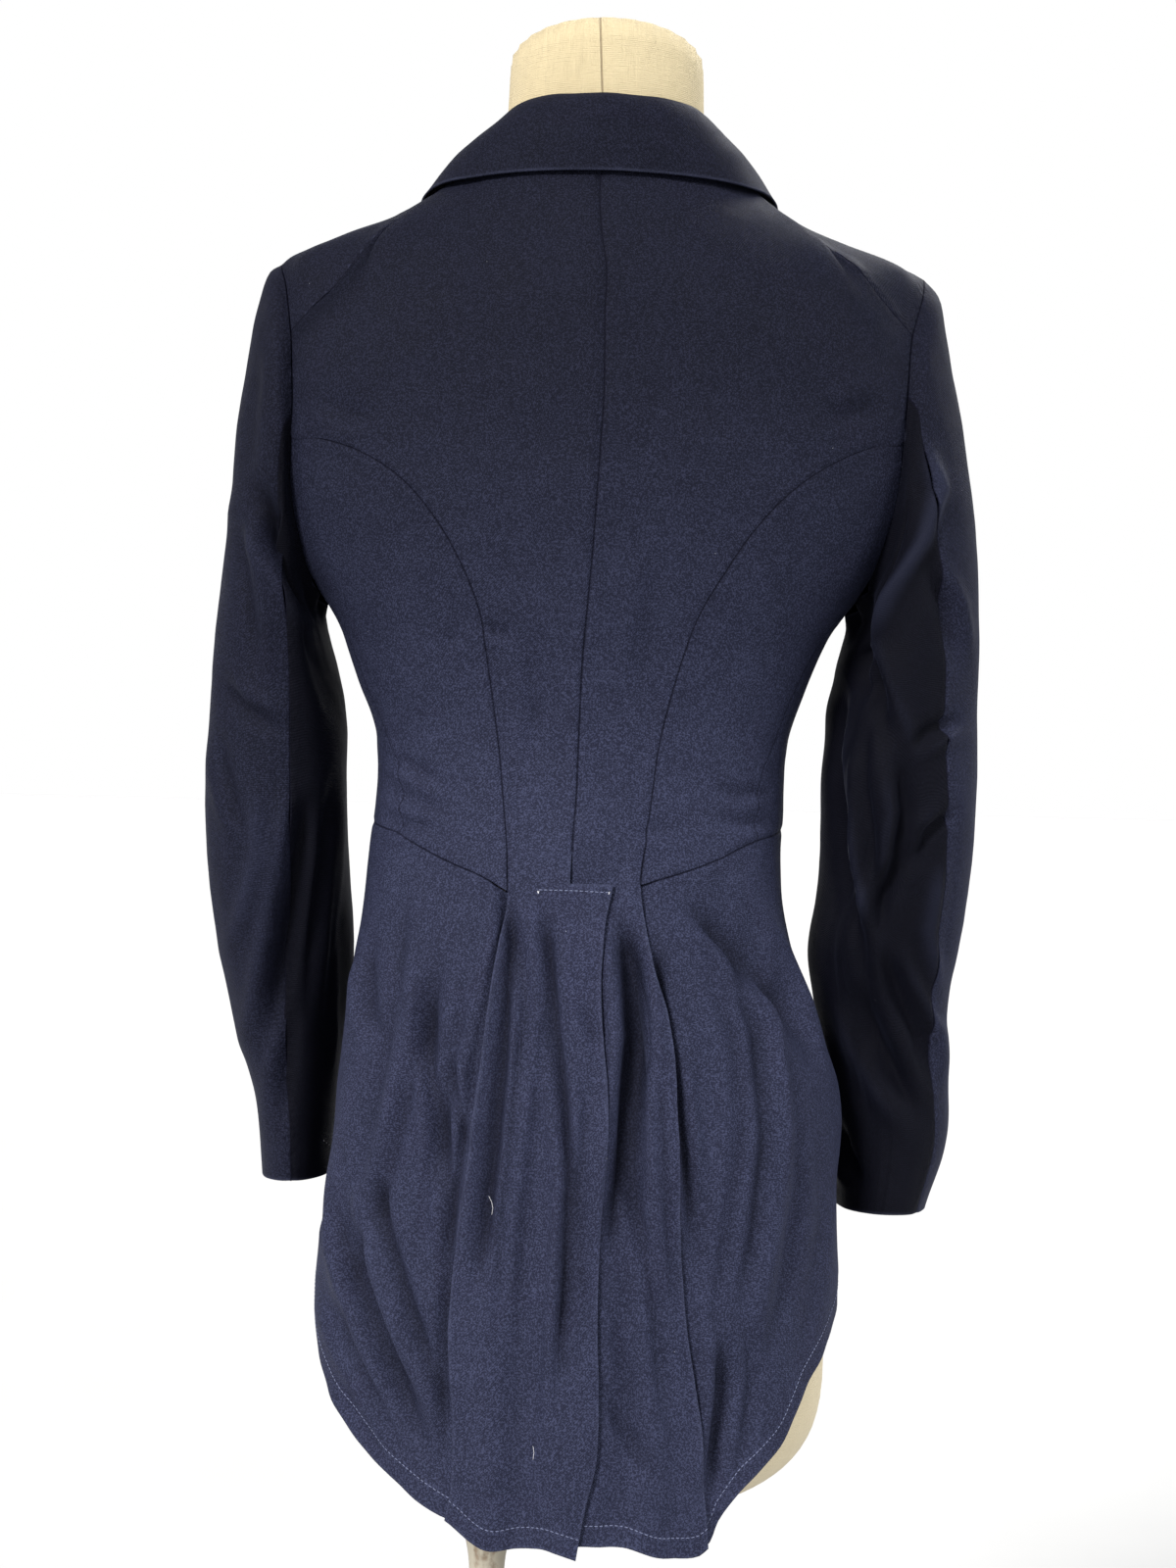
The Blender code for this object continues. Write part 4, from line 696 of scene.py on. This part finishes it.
def along_crease(spots, line):
    """How far spots are from a crease, on which side of it they are, and how strong it is there."""
    line = np.array(line, float)
    before = reaches(line)
    best = np.full(len(spots), np.inf)
    passed, side = np.zeros(len(spots)), np.ones(len(spots))
    for k, length in enumerate(np.diff(before)):
        way = (line[k + 1] - line[k]) / length
        apart = spots - line[k]
        t = np.clip(apart @ way, 0.0, length)
        away = np.linalg.norm(apart - t[:, None] * way, axis=1)
        closer = away < best
        best[closer] = away[closer]
        passed[closer] = (before[k] + t)[closer]
        side[closer] = np.sign(way[0] * apart[:, 1] - way[1] * apart[:, 0])[closer]
    start, end = (min(dots, SHORT_TAPER * before[-1]) for dots in TAPER)
    strength = ease(passed / start + TIP) * ease((before[-1] - passed) / end + TIP)
    return best, side, strength


# %% What the creases do to a piece
def group_of(name):
    """Creases are shared by the pieces of one sleeve, and by all the rest."""
    for side in ("left", "right"):
        if name.startswith("sleeve") and name.endswith(side):
            return f"sleeve_{side}"
    return "coat"


def creased(name, points, normals):
    """How far the creases move each point out, in metres, and how much painted shade each point gets in a
    crease (below 0, painted highlight on a ridge).
    """
    push, painted_crease_shading = np.zeros(len(points)), np.zeros(len(points))
    low, high = EDGE_FADE
    for (piece, side), creases in CREASES.items():
        if piece not in (name, group_of(name)):
            continue
        spots = picture_place(points, side)
        seen = ease((side * normals[:, 1] - low) / (high - low))
        for width, depth, ridge, *line in creases:
            away, hand, strength = along_crease(spots, line)
            away = away / width
            trough = np.exp(-(away**2))
            beside = abs(ridge) * np.exp(-(((away * np.sign(ridge) * hand - RIDGE_AT) / RIDGE_WIDTH) ** 2))
            strength = strength * seen * depth
            push += (beside - trough) * strength * DEPTH_GAIN * MILLIMETRE
            # painted shade in the trough, and painted highlight on the ridge beside it
            painted_crease_shading += (trough - beside * RIDGE_LIGHT) * strength / FULL_PAINTED_SHADE
    return push, painted_crease_shading


# %% [markdown]
# ## Soft waves, seams and edges
#
# Between the creases, worn cotton is never quite flat, so a slow wave goes over the whole coat. It is
# read in space, and so it runs on across the seams. A seam pulls the cloth in along both of its sides.
# An edge point is on a seam when the edge of another piece is about a millimetre from it or nearer,
# and else it is free: a hem, the edge of a cuff, of the collar or of the vent.

# %% Tell seams from free edges
SEAM_GAP = 0.0011  # how near a neighbour's edge has to be
RIM_PARTS = 4  # points on each stretch of a neighbour's edge


def rim_loops(cloth):
    """The stretches of the sheet's outline, each with its two grid places in turning order."""
    padded = np.zeros(np.array(cloth.shape) + 2, bool)
    padded[1:-1, 1:-1] = cloth
    loops = []
    for r, c in zip(*np.nonzero(cloth)):
        corner = ((r, c), (r, c + 1), (r + 1, c + 1), (r + 1, c))
        for k, (dr, dc) in enumerate(((-1, 0), (0, 1), (1, 0), (0, -1))):
            if not padded[r + 1 + dr, c + 1 + dc]:
                loops.append((corner[k], corner[(k + 1) % 4]))
    return loops


def tree_of(spots):
    tree = KDTree(len(spots))
    for k, spot in enumerate(spots):
        tree.insert(spot, k)
    tree.balance()
    return tree


# %% Sort the edge points
loops_of = {name: rim_loops(cloth) for name, (_, cloth, _) in sheets.items()}
rims, owners = [], []
for name, (sheet, _, _) in sheets.items():
    for a, b in loops_of[name]:
        for t in np.arange(RIM_PARTS) / RIM_PARTS:
            rims.append(sheet[a] * (1 - t) + sheet[b] * t)
            owners.append(name)
all_rims = tree_of(rims)
edges_of = {}
for name, (sheet, _, _) in sheets.items():
    places = sorted({spot for pair in loops_of[name] for spot in pair})
    near = [
        {owners[k] for _, k, _ in all_rims.find_range(sheet[spot], SEAM_GAP)} - {name} for spot in places
    ]
    edges_of[name] = (  # free points, points on seams, and points at an armhole
        [spot for spot, others in zip(places, near) if not others],
        [spot for spot, others in zip(places, near) if others],
        [spot for spot, others in zip(places, near) if any(group_of(k) != group_of(name) for k in others)],
    )
    print(f"{name}: {len(edges_of[name][0])} free edge points, {len(edges_of[name][1])} on seams")

# %% Wear, waves and ripples
# How much painted light a piece gets lower down; below 0 it gets painted shade instead, darker all over.
PAINTED_LIGHTING = {"sleeve_top_right": 0.50, "sleeve_top": 0.18, "sleeve_under": -0.75, "collar": 0.2, "lapel": 0.4}
HEMMED = ("back_left", "back_right", "skirt_left", "skirt_right")
WAVES = ((9.0, 0.0016), (26.0, 0.0007), (70.0, 0.00022))  # per metre, and how far in or out
RIPPLE = (48.0, 0.0011, 0.018)  # of free edges: per metre, height, and how far it reaches in
ARM_CALM = 0.022  # nothing moves right at the armhole, where two shapes meet at an angle
SEAM_PRESS = 0.0007
SEAM_REACH = 0.0020
THICKNESS = 0.0012
RIM_ROUND = 0.00012  # the turned edge stands out this far between the skins
RIM_CLOSED = 0.00035  # and this far where it meets a neighbour
FAR = 0.060  # distances aren't told apart beyond this


def painted_lighting_of(name):
    """The painted light or painted shade of a piece, by how its name starts."""
    return next((share for start, share in PAINTED_LIGHTING.items() if name.startswith(start)), 1.0)


def distance(spots, points):
    """How far every point lies from the nearest spot, up to a limit."""
    if not spots:
        return np.full(len(points), FAR)
    tree = tree_of(spots)
    return np.minimum(FAR, [tree.find(point)[2] for point in points])


def swell(points, scale, height):
    """A soft random rise and fall in space, with about so many waves to a metre."""
    return height * np.array([noise.noise(Vector(spot) * scale) for spot in points])


# %% Shape one sheet
def shaped(name, sheet, normal):
    """The sheet with its creases, waves and seams, its normals, and the values that it carries."""
    flat, out = sheet.reshape(-1, 3), normal.reshape(-1, 3)
    edges = [[sheet[spot] for spot in spots] for spots in edges_of[name]]
    from_edge, from_seam, from_arm = (distance(spots, flat) for spots in edges)
    push, painted_crease_shading = creased(name, flat, out)
    push += sum(swell(flat, *wave) for wave in WAVES)
    *ripple, reach = RIPPLE
    push += swell(flat, *ripple) * np.exp(-from_edge / reach)
    push -= SEAM_PRESS * np.exp(-((from_seam / SEAM_REACH) ** 2))
    push *= ease(from_arm / ARM_CALM)
    moved = (flat + out * push[:, None]).reshape(sheet.shape)
    facing = grid_normals(moved)
    if np.sum(facing * normal) < 0:
        facing = -facing
    # the piece's painted light or painted shade, and whether it has a hem
    painted_lighting_share, hem = np.full(len(flat), painted_lighting_of(name)), np.full(len(flat), float(name in HEMMED))
    values = (from_edge / MILLIMETRE, from_seam / MILLIMETRE, painted_crease_shading, painted_lighting_share, hem)
    return moved, facing, {label: value.reshape(sheet.shape[:2]) for label, value in zip(CARRIED, values)}


# %% [markdown]
# ## A sheet with two skins
#
# Every piece becomes a closed thin sheet: the shaped skin, a second one 1.2 mm further in, and a
# narrow rounded rim between them where the cloth is turned. A Solidify modifier could do this, but
# here the rim has to reach out to its neighbour at a seam and to stay short at a hem, so its points
# are worked out. A map in metres goes with it for the weave.

# %% Build one sheet
def sheet_mesh(name, outer, normal, cloth, loops, sewn, values):
    """A closed thin sheet over the cells that are cloth. Values are point attributes, by name."""
    rows, columns = outer.shape[:2]
    used = np.zeros((rows, columns), bool)
    for low in (0, 1):
        for left in (0, 1):
            used[low : rows - 1 + low, left : columns - 1 + left] |= cloth
    count = int(used.sum())
    number = np.full((rows, columns), -1)
    number[used] = np.arange(count)
    quads = np.stack([number[:-1, :-1], number[:-1, 1:], number[1:, 1:], number[1:, :-1]], axis=-1)[cloth]
    aside = {}
    for a, b in loops:
        away = np.cross(outer[b] - outer[a], normal[a])
        for spot in (a, b):
            aside[spot] = aside.get(spot, 0.0) + away
    spots = list(aside)
    turn = np.sum(np.cross(outer[0, 1] - outer[0, 0], outer[1, 0] - outer[0, 0]) * normal[0, 0])
    turn = 1.0 if turn > 0 else -1.0
    middle = [
        outer[spot] - normal[spot] * THICKNESS / 2
        + turn * unit(aside[spot]) * (RIM_CLOSED if spot in sewn else RIM_ROUND)
        for spot in spots
    ]
    place = {spot: 2 * count + k for k, spot in enumerate(spots)}
    band = []
    for a, b in loops:
        band.append((number[b], number[a], place[a], place[b]))
        band.append((place[b], place[a], number[a] + count, number[b] + count))
    faces = np.concatenate([quads, quads[:, ::-1] + count, np.array(band)])
    points = np.concatenate([outer[used], (outer - normal * THICKNESS)[used], np.array(middle)])
    mesh = bpy.data.meshes.new(name)
    mesh.from_pydata(points.tolist(), [], faces.tolist())
    if turn < 0:
        mesh.flip_normals()
    across = reaches(outer, 1)
    grain = np.stack([across - across[:, columns // 2 : columns // 2 + 1], reaches(outer)], axis=-1)
    rim = tuple(np.array(spots).T)
    grain = np.concatenate([grain[used], grain[used], grain[rim]])[loop_points(mesh)]
    mesh.uv_layers.new(name="grain").data.foreach_set("uv", grain.astype(np.float32).reshape(-1))
    for label, value in values.items():
        value = np.concatenate([value[used], value[used], value[rim]])
        mesh.attributes.new(label, "FLOAT", "POINT").data.foreach_set("value", value.astype(np.float32))
    mesh.shade_smooth()
    return placed(name, mesh)


# %% [markdown]
# ## The coat, piece by piece
#
# A tailor cuts these pieces flat. The flat sizes were measured along the solids, through folds and bends,
# and are listed with how each piece is held; the sheets are built without them.

# %% Make every sheet
# name, flat width, flat length, flat area, how it is held
CUTS = (
    ("back_left", 0.285, 0.855, 0.0755, "hung"),
    ("back_right", 0.283, 0.853, 0.0770, "hung"),
    ("side_back_left", 0.125, 0.340, 0.0228, "draped"),
    ("side_back_right", 0.115, 0.338, 0.0220, "draped"),
    ("front_left", 0.280, 0.525, 0.0865, "draped"),
    ("front_right", 0.283, 0.525, 0.0875, "draped"),
    ("skirt_left", 0.565, 0.365, 0.0890, "hung"),
    ("skirt_right", 0.575, 0.385, 0.0890, "hung"),
    ("sleeve_top_left", 0.372, 0.580, 0.0995, "hung"),
    ("sleeve_under_left", 0.175, 0.470, 0.0440, "hung"),
    ("sleeve_top_right", 0.352, 0.590, 0.1010, "hung"),
    ("sleeve_under_right", 0.190, 0.505, 0.0540, "hung"),
    ("collar", 0.366, 0.098, 0.0272, "folded"),
    ("lapel_left", 0.070, 0.195, 0.0084, "folded"),
    ("lapel_right", 0.076, 0.266, 0.0105, "folded"),
)


def stand_in(piece, node, finish):
    """The piece takes the place of a node."""
    piece.data.materials.append(finish)
    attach(piece, "root")
    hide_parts(node)
    print(f"{piece.name}: {len(piece.data.polygons)} faces")


skins = {}
for name, width, length, area, held in CUTS:
    sheet, cloth, normal = sheets[name]
    outer, facing, values = shaped(name, sheet, normal)
    sewn = set(edges_of[name][1])
    piece = sheet_mesh(f"cloth_{name}", outer, facing, cloth, loops_of[name], sewn, values)
    stand_in(piece, name, cotton)
    skins[name] = (piece, outer, facing)

# %% [markdown]
# ## The dress form and its stand
#
# The form is padded and covered in cream linen, smooth and whole, with a sewn seam up the back of its
# neck. It stands on a turned wooden post, whose old paint is worn. Their solids already have the right
# shape, only with flat facets. So each is a copy of its solid, with its sharp edges rounded or held
# firm, and a Subdivision Surface makes the rest round.

# %% Refine a copy of a solid
MERGED = 0.00002  # points closer than this are one
SHARP = math.radians(40)
CREASE = 0.85  # how firmly a sharp edge is held when the faces are made finer


def refined(node, name, rounding, levels, flat=0.0):
    """A merged copy of a node, with rounded edges and finer faces, smooth all over."""
    piece = placed(name, frame["nodes"][node].data.copy())
    piece.data.name = name
    piece.data.materials.clear()
    bpy.ops.object.select_all(action="DESELECT")
    piece.select_set(True)
    bpy.context.view_layer.objects.active = piece
    bpy.ops.object.mode_set(mode="EDIT")
    bpy.ops.mesh.select_all(action="SELECT")
    bpy.ops.mesh.remove_doubles(threshold=MERGED)
    bpy.ops.mesh.tris_convert_to_quads(face_threshold=SHARP, shape_threshold=SHARP)
    if flat:
        bpy.ops.mesh.dissolve_limited(angle_limit=flat)
    bpy.ops.mesh.select_all(action="DESELECT")
    bpy.ops.mesh.select_mode(type="EDGE")
    bpy.ops.mesh.edges_select_sharp(sharpness=SHARP)
    bpy.ops.transform.edge_crease(value=0.0 if rounding else CREASE)
    bpy.ops.object.mode_set(mode="OBJECT")
    if rounding:
        bevel = piece.modifiers.new("round", "BEVEL")
        bevel.width = rounding
        bevel.segments = 2
        bevel.limit_method = "ANGLE"
        bevel.angle_limit = SHARP
        bpy.ops.object.modifier_apply(modifier=bevel.name)
    finer = piece.modifiers.new("finer", "SUBSURF")
    finer.levels = finer.render_levels = levels
    bpy.ops.object.modifier_apply(modifier=finer.name)
    bpy.ops.object.shade_smooth()
    return piece


# %% A map round the form
def wrapped(piece, girth):
    """A map in metres round an upright piece, for its weave."""
    layer = piece.data.uv_layers.new(name="grain")
    for face in piece.data.polygons:
        middle = math.atan2(face.center.x, -face.center.y)
        for loop in face.loop_indices:
            spot = piece.data.vertices[piece.data.loops[loop].vertex_index].co
            turn = math.atan2(spot.x, -spot.y)
            turn += TURN * round((middle - turn) / TURN)
            layer.data[loop].uv = (turn / TURN * girth, spot.z)


FORM_GIRTH = 0.86
FLAT = math.radians(0.2)  # faces that turn by less than this are joined
form = refined("form_body", "linen_form", 0.0, 2, FLAT)
wrapped(form, FORM_GIRTH)
print("the form measures", *[f"{side:.3f}" for side in form.dimensions], "m")

# %% Cream linen
SEAM_PLACE = 0.0010  # the neck seam stands this far from the middle, at the neck's foot
SEAM_LEAN = 0.05
SEAM_BEHIND = (0.040, 0.044)  # only the back of the neck has it
NECK_LOW = 1.375
LINEN_PITCH = 0.0011
LINEN = ((0.400, 0.325, 0.190), (0.560, 0.480, 0.310))  # darkest and palest
AGED = (0.46, 0.42, 0.33)
AGED_HEIGHTS = (0.55, 1.05)
SEWN = (0.17, 0.125, 0.07)

linen = Recipe("cream_linen", {"Specular IOR Level": 0.25, "Sheen Weight": 0.08})
grain = linen.grain()
along, up, _ = linen.parts(grain)
weave = woven(along, up, LINEN_PITCH)
slub_up = linen.noise(1.0, 2.0, linen.stretched(grain, (900.0, 60.0, 1.0)))
slub_round = linen.noise(1.0, 2.0, linen.stretched(grain, (60.0, 900.0, 1.0)))
stain = linen.noise(9.0, 4.0)
side, back, height = linen.parts(linen.place)
from_seam = (side - SEAM_PLACE - (height - NECK_LOW) * SEAM_LEAN).math("ABSOLUTE")
sewn = (1 - from_seam.step(0.0002, 0.0009)) * back.step(*SEAM_BEHIND)
tone = stain * 0.55 + slub_up * 0.30 + slub_round * 0.30 + weave * 0.15 - 0.20
shade = linen.mix((1 - height.step(*AGED_HEIGHTS)) * 0.35, linen.mix(tone, *LINEN), AGED)
shade = linen.mix(sewn * 0.75, shade, SEWN)
relief = weave * 0.5 + slub_up * 0.9 + slub_round * 0.9 - sewn * 1.5
cream = linen.finish(shade, 0.72 + stain * 0.2, relief, 0.0004)
stand_in(form, "form_body", cream)

# %% Worn paint
BARE_WOOD = ((0.085, 0.055, 0.034), (0.20, 0.145, 0.095))  # darkest and palest
OLD_PAINT = ((0.22, 0.20, 0.155), (0.40, 0.37, 0.30))

paint = Recipe("worn_paint", {"Specular IOR Level": 0.35})
streak = paint.noise(1.0, 5.0, paint.stretched(paint.place, (210.0, 210.0, 35.0)))
blot = paint.noise(120.0, 6.0)
patch = paint.noise(14.0, 3.0)
bare = (blot * 0.55 + streak * 0.35 + patch * 0.45).step(0.66, 0.80)
old_paint = paint.mix(patch * 0.6 + blot * 0.4, *OLD_PAINT)
worn_wood = paint.mix(bare * 0.85, old_paint, paint.mix(streak, *BARE_WOOD))
brown = paint.finish(worn_wood, 0.55 + blot * 0.3, blot * 0.8 - bare * 0.8 + streak * 0.4, 0.0005)
for node, name, rounding in (
    ("stand_flange", "wooden_plate", 0.0014),
    ("stand_post", "turned_post", 0.0010),
    ("stand_base", "round_base", 0.0020),
):
    stand_in(refined(node, name, rounding, 2), node, brown)

# %% [markdown]
# ## The buttons
#
# Three dark buttons close the front. They are turned from a dark plastic, a little glossy. Their solids
# have the right shape too, so each button is a copy with its edges rounded, as on the stand.

# %% Buttons
PLASTIC = ((0.006, 0.006, 0.010), (0.022, 0.022, 0.032))  # darkest and palest
BUTTON_ROUNDING = 0.0003

plastic = Recipe("dark_plastic", {"Specular IOR Level": 0.5, "Coat Weight": 0.15})
swirl = plastic.noise(220.0, 3.0)
glossy = plastic.finish(plastic.mix(swirl, *PLASTIC), 0.26 + swirl * 0.15, swirl, 0.00004)
for k in (1, 2, 3):
    node = f"button_front_{k}"
    stand_in(refined(node, f"round_button_{k}", BUTTON_ROUNDING, 1), node, glossy)

# %% [markdown]
# ## Thread
#
# The hems are turned up once and stitched with a paler blue thread. Another line of stitches and two
# small crossed bars hold the top of the vent, one bar holds the left cuff, and two loose ends of thread
# hang on the tails. They are too fine for the solids, and painted lines would catch no light. So one
# stitch is modelled, a short rounded capsule, and set again and again along each line, on the cloth.

# %% One stitch
bpy.ops.object.select_all(action="DESELECT")
bpy.ops.mesh.primitive_uv_sphere_add(segments=6, ring_count=5, radius=0.5)
template = bpy.context.object
bpy.ops.transform.rotate(value=math.pi / 2, orient_axis="Y", center_override=(0.0, 0.0, 0.0))
bpy.ops.object.transform_apply(location=False, rotation=True, scale=True)
stitch_points = np.array([vertex.co for vertex in template.data.vertices])
stitch_faces = [tuple(face.vertices) for face in template.data.polygons]
bpy.data.objects.remove(template, do_unlink=True)
print("one stitch:", len(stitch_faces), "faces")


# %% Two kinds of thread
def thread_of(name, steady, darkest, palest):
    """A spun, slightly fuzzy thread."""
    thread = Recipe(name, {"Specular IOR Level": 0.3, **steady})
    fuzz = thread.noise(1500.0, 2.0)
    return thread.finish(thread.mix(fuzz, darkest, palest), 0.7 + fuzz * 0.1, fuzz, 0.0001)


hem_thread = thread_of("pale_thread", {"Sheen Weight": 0.2}, (0.060, 0.070, 0.13), (0.14, 0.16, 0.26))
loose_thread = thread_of("loose_thread", {}, (0.42, 0.42, 0.46), (0.60, 0.60, 0.62))
print("threads:", hem_thread.name, "and", loose_thread.name)

# %% A line of stitches
STITCH_LIFT = 0.15  # a stitch's middle stands this share of its height over the cloth


def read_line(values, reach, at):
    """A row of points or directions, given at each reach, read at other places along it."""
    return np.column_stack([np.interp(at, reach, column) for column in values.T])


def sewn_line(name, spots, outs, pitch, size, finish):
    """Stitches of one size along a row of spots, an even pitch apart, joined into one piece."""
    reach = reaches(spots)
    number = max(1, int(reach[-1] / pitch))
    middles = (np.arange(number) + 0.5) * reach[-1] / number
    centre, out = read_line(spots, reach, middles), unit(read_line(outs, reach, middles))
    ahead, behind = (read_line(spots, reach, middles + step) for step in (pitch / 4, -pitch / 4))
    way = unit(ahead - behind)
    aside = unit(np.cross(out, way))
    out = np.cross(way, aside)
    shape = stitch_points * size
    points = centre[:, None] + out[:, None] * size[2] * STITCH_LIFT
    for axis, direction in enumerate((way, aside, out)):
        points = points + shape[None, :, axis : axis + 1] * direction[:, None]
    faces = [[k * len(shape) + v for v in face] for k in range(number) for face in stitch_faces]
    mesh = bpy.data.meshes.new(name)
    mesh.from_pydata(points.reshape(-1, 3).tolist(), [], faces)
    mesh.materials.append(finish)
    mesh.shade_smooth()
    piece = placed(name, mesh)
    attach(piece, "root")
    print(f"{name}: {number} stitches")


# %% Sew the hems
HEM_STITCH = (0.0029, (0.0021, 0.0006, 0.00045), hem_thread)  # pitch; length, width, height; thread
LEAST_ROWS = 4  # a hem is stitched where the cloth has this many rows
LEAST_DEPTH = 2.5  # and is this many times as deep as the stitches are far in


def line_inside(name, down_the_front):
    """Points on a skin as far in as the stitches are, from its first row or from its last column."""
    _, outer, facing = skins[name]
    cloth = sheets[name][1]
    used = np.zeros(outer.shape[:2], bool)
    used[:-1, :-1] |= cloth
    used[1:, 1:] |= cloth
    if down_the_front:
        outer, facing, used = (np.swapaxes(grid, 0, 1)[::-1] for grid in (outer, facing, used))
    inside = STITCHED_AT * MILLIMETRE
    spots, outs = [], []
    for k in range(outer.shape[1]):
        rows = np.nonzero(used[:, k])[0]
        if len(rows) < LEAST_ROWS:
            continue
        reach = reaches(outer[rows, k])
        if reach[-1] < LEAST_DEPTH * inside:
            continue
        spots.append(read_line(outer[rows, k], reach, [inside])[0])
        outs.append(read_line(facing[rows, k], reach, [inside])[0])
    return np.array(spots), np.array(outs)


for name in HEMMED:
    sewn_line(f"stitches_hem_{name}", *line_inside(name, False), *HEM_STITCH)
for name in ("skirt_left", "skirt_right"):
    sewn_line(f"stitches_front_{name}", *line_inside(name, True), *HEM_STITCH)


# %% The cloth behind a dot of the picture
def on_cloth(dots):
    """Where rays from the camera through dots of the picture meet the cloth, and the way out there."""
    bpy.context.view_layer.update()
    spots, outs = [], []
    for across_dots, down_dots in dots:
        right = (across_dots - PICTURE[0] / 2) * METRES_PER_DOT
        up = (PICTURE[1] / 2 - down_dots) * METRES_PER_DOT
        aside = right * math.cos(CAMERA_ROLL) - up * math.sin(CAMERA_ROLL)
        above = right * math.sin(CAMERA_ROLL) + up * math.cos(CAMERA_ROLL)
        way = Vector((-aside, -CAMERA_PLACE.y, above)).normalized()
        hits = [piece.ray_cast(CAMERA_PLACE, way) for piece, _, _ in skins.values()]
        hits = [(spot, out) for found, spot, out, _ in hits if found]
        spot, out = min(hits, key=lambda hit: (hit[0] - CAMERA_PLACE).length)
        spots.append(spot)
        outs.append(out)
    return np.array(spots), np.array(outs)


def filled_in(dots, step=6.0):
    """More dots between the given ones, so a line follows the cloth."""
    line = np.array(dots, float)
    reach = reaches(line)
    return read_line(line, reach, np.linspace(0, reach[-1], max(2, int(reach[-1] / step) + 1)))


# %% Sew what is seen in the picture
BAR = (0.0050, (0.0018, 0.0005, 0.0005), loose_thread)
VENT_BAR = (0.0040, *BAR[1:])
TAIL = (0.0016, (0.0026, 0.0003, 0.0003), loose_thread)  # its stitches run into one thread
LINES = (
    ("stitches_vent_top", HEM_STITCH, (549, 908), (585, 909), (622, 911)),
    ("bar_vent_left", VENT_BAR, (547, 907), (551, 914)),
    ("bar_vent_left_low", BAR, (551, 906), (548, 915)),
    ("bar_vent_right", VENT_BAR, (620, 908), (624, 915)),
    ("bar_vent_right_low", BAR, (623, 907), (620, 916)),
    ("bar_cuff_left", BAR, (329, 1163), (337, 1169)),
    ("thread_tail_left", TAIL, (499, 1221), (502, 1227), (503, 1233), (502, 1239)),
    ("thread_tail_low", TAIL, (544, 1476), (545, 1482), (544, 1489)),
)
for name, kind, *dots in LINES:
    sewn_line(name, *on_cloth(filled_in(dots)), *kind)

# %% [markdown]
# ## Floor and light
#
# The coat was photographed before a plain pale background, in soft light from above. Here a sheet of
# paper reaches to the horizon, and the sky behind the coat is as bright as the paper, so that no line
# shows between them. A picture of a studio could light the scene, but a sky made of nodes can be
# dimmed at both sides, so the rounded cloth darkens towards its edges. Four wide suns shape the folds.

# %% The floor
FLOOR_REACH = 200.0
FLOOR_DROP = 0.0005  # the paper lies this far under the stand
PAPER = ((0.41, 0.41, 0.41), (0.43, 0.43, 0.43))  # darkest and palest

bpy.ops.object.select_all(action="DESELECT")
bpy.ops.mesh.primitive_plane_add(size=FLOOR_REACH, location=(0.0, 0.0, -FLOOR_DROP))
floor = bpy.context.object
floor.name = "floor"
paper = Recipe("pale_paper", {"Specular IOR Level": 0.1})
tone = paper.mix(paper.noise(3.0), *PAPER)
floor.data.materials.append(paper.finish(tone, paper.noise(40.0) * 0.1 + 0.8, paper.noise(300.0), 0.0001))
print("the floor is", FLOOR_REACH, "m wide")

# %% The sky
SKY_DIM, SKY_BRIGHT = 0.42, 1.00  # beside the coat and over it, and before and behind it
SKY_TURN = (0.55, 0.90)  # how far a direction points before or behind, from dim to bright
WHITE = (1.0, 1.0, 1.0, 1.0)
world = bpy.data.worlds.new("studio")
world.use_nodes = True
sky = Nodes(world.node_tree)
direction = sky.node("ShaderNodeTexCoord").outputs["Generated"]
facing = sky.parts(direction)[1].math("ABSOLUTE")
strength = facing.step(*SKY_TURN) * (SKY_BRIGHT - SKY_DIM) + SKY_DIM
sky.feed(sky.tree.nodes["Background"], {"Color": WHITE, "Strength": strength})
bpy.context.scene.world = world
print("the sky:", len(sky.tree.nodes), "nodes")

# %% Four suns
# name, the way it comes from, angle, strength, colour
LIGHTS = (
    ("key", (1.15, 2.0, 1.5), math.radians(14), 4.7, (1.0, 0.98, 0.96)),
    ("left", (2.0, 0.55, 1.2), math.radians(24), 1.0, (1.0, 0.99, 0.97)),
    ("right", (-2.0, 0.60, 1.2), math.radians(24), 2.4, (0.96, 0.98, 1.0)),
    ("front", (-0.9, -1.5, 1.5), math.radians(30), 2.6, (1.0, 1.0, 1.0)),
)
for name, place, angle, power, colour in LIGHTS:
    lamp = bpy.data.lights.new(name, "SUN")
    lamp.angle = angle
    lamp.energy = power
    lamp.color = colour
    holder = placed(name, lamp)
    holder.location = place
    holder.rotation_mode = "QUATERNION"
    holder.rotation_quaternion = Vector(place).to_track_quat("Z", "Y")
bpy.context.scene.view_settings.view_transform = "Standard"
print(len(LIGHTS), "lights")
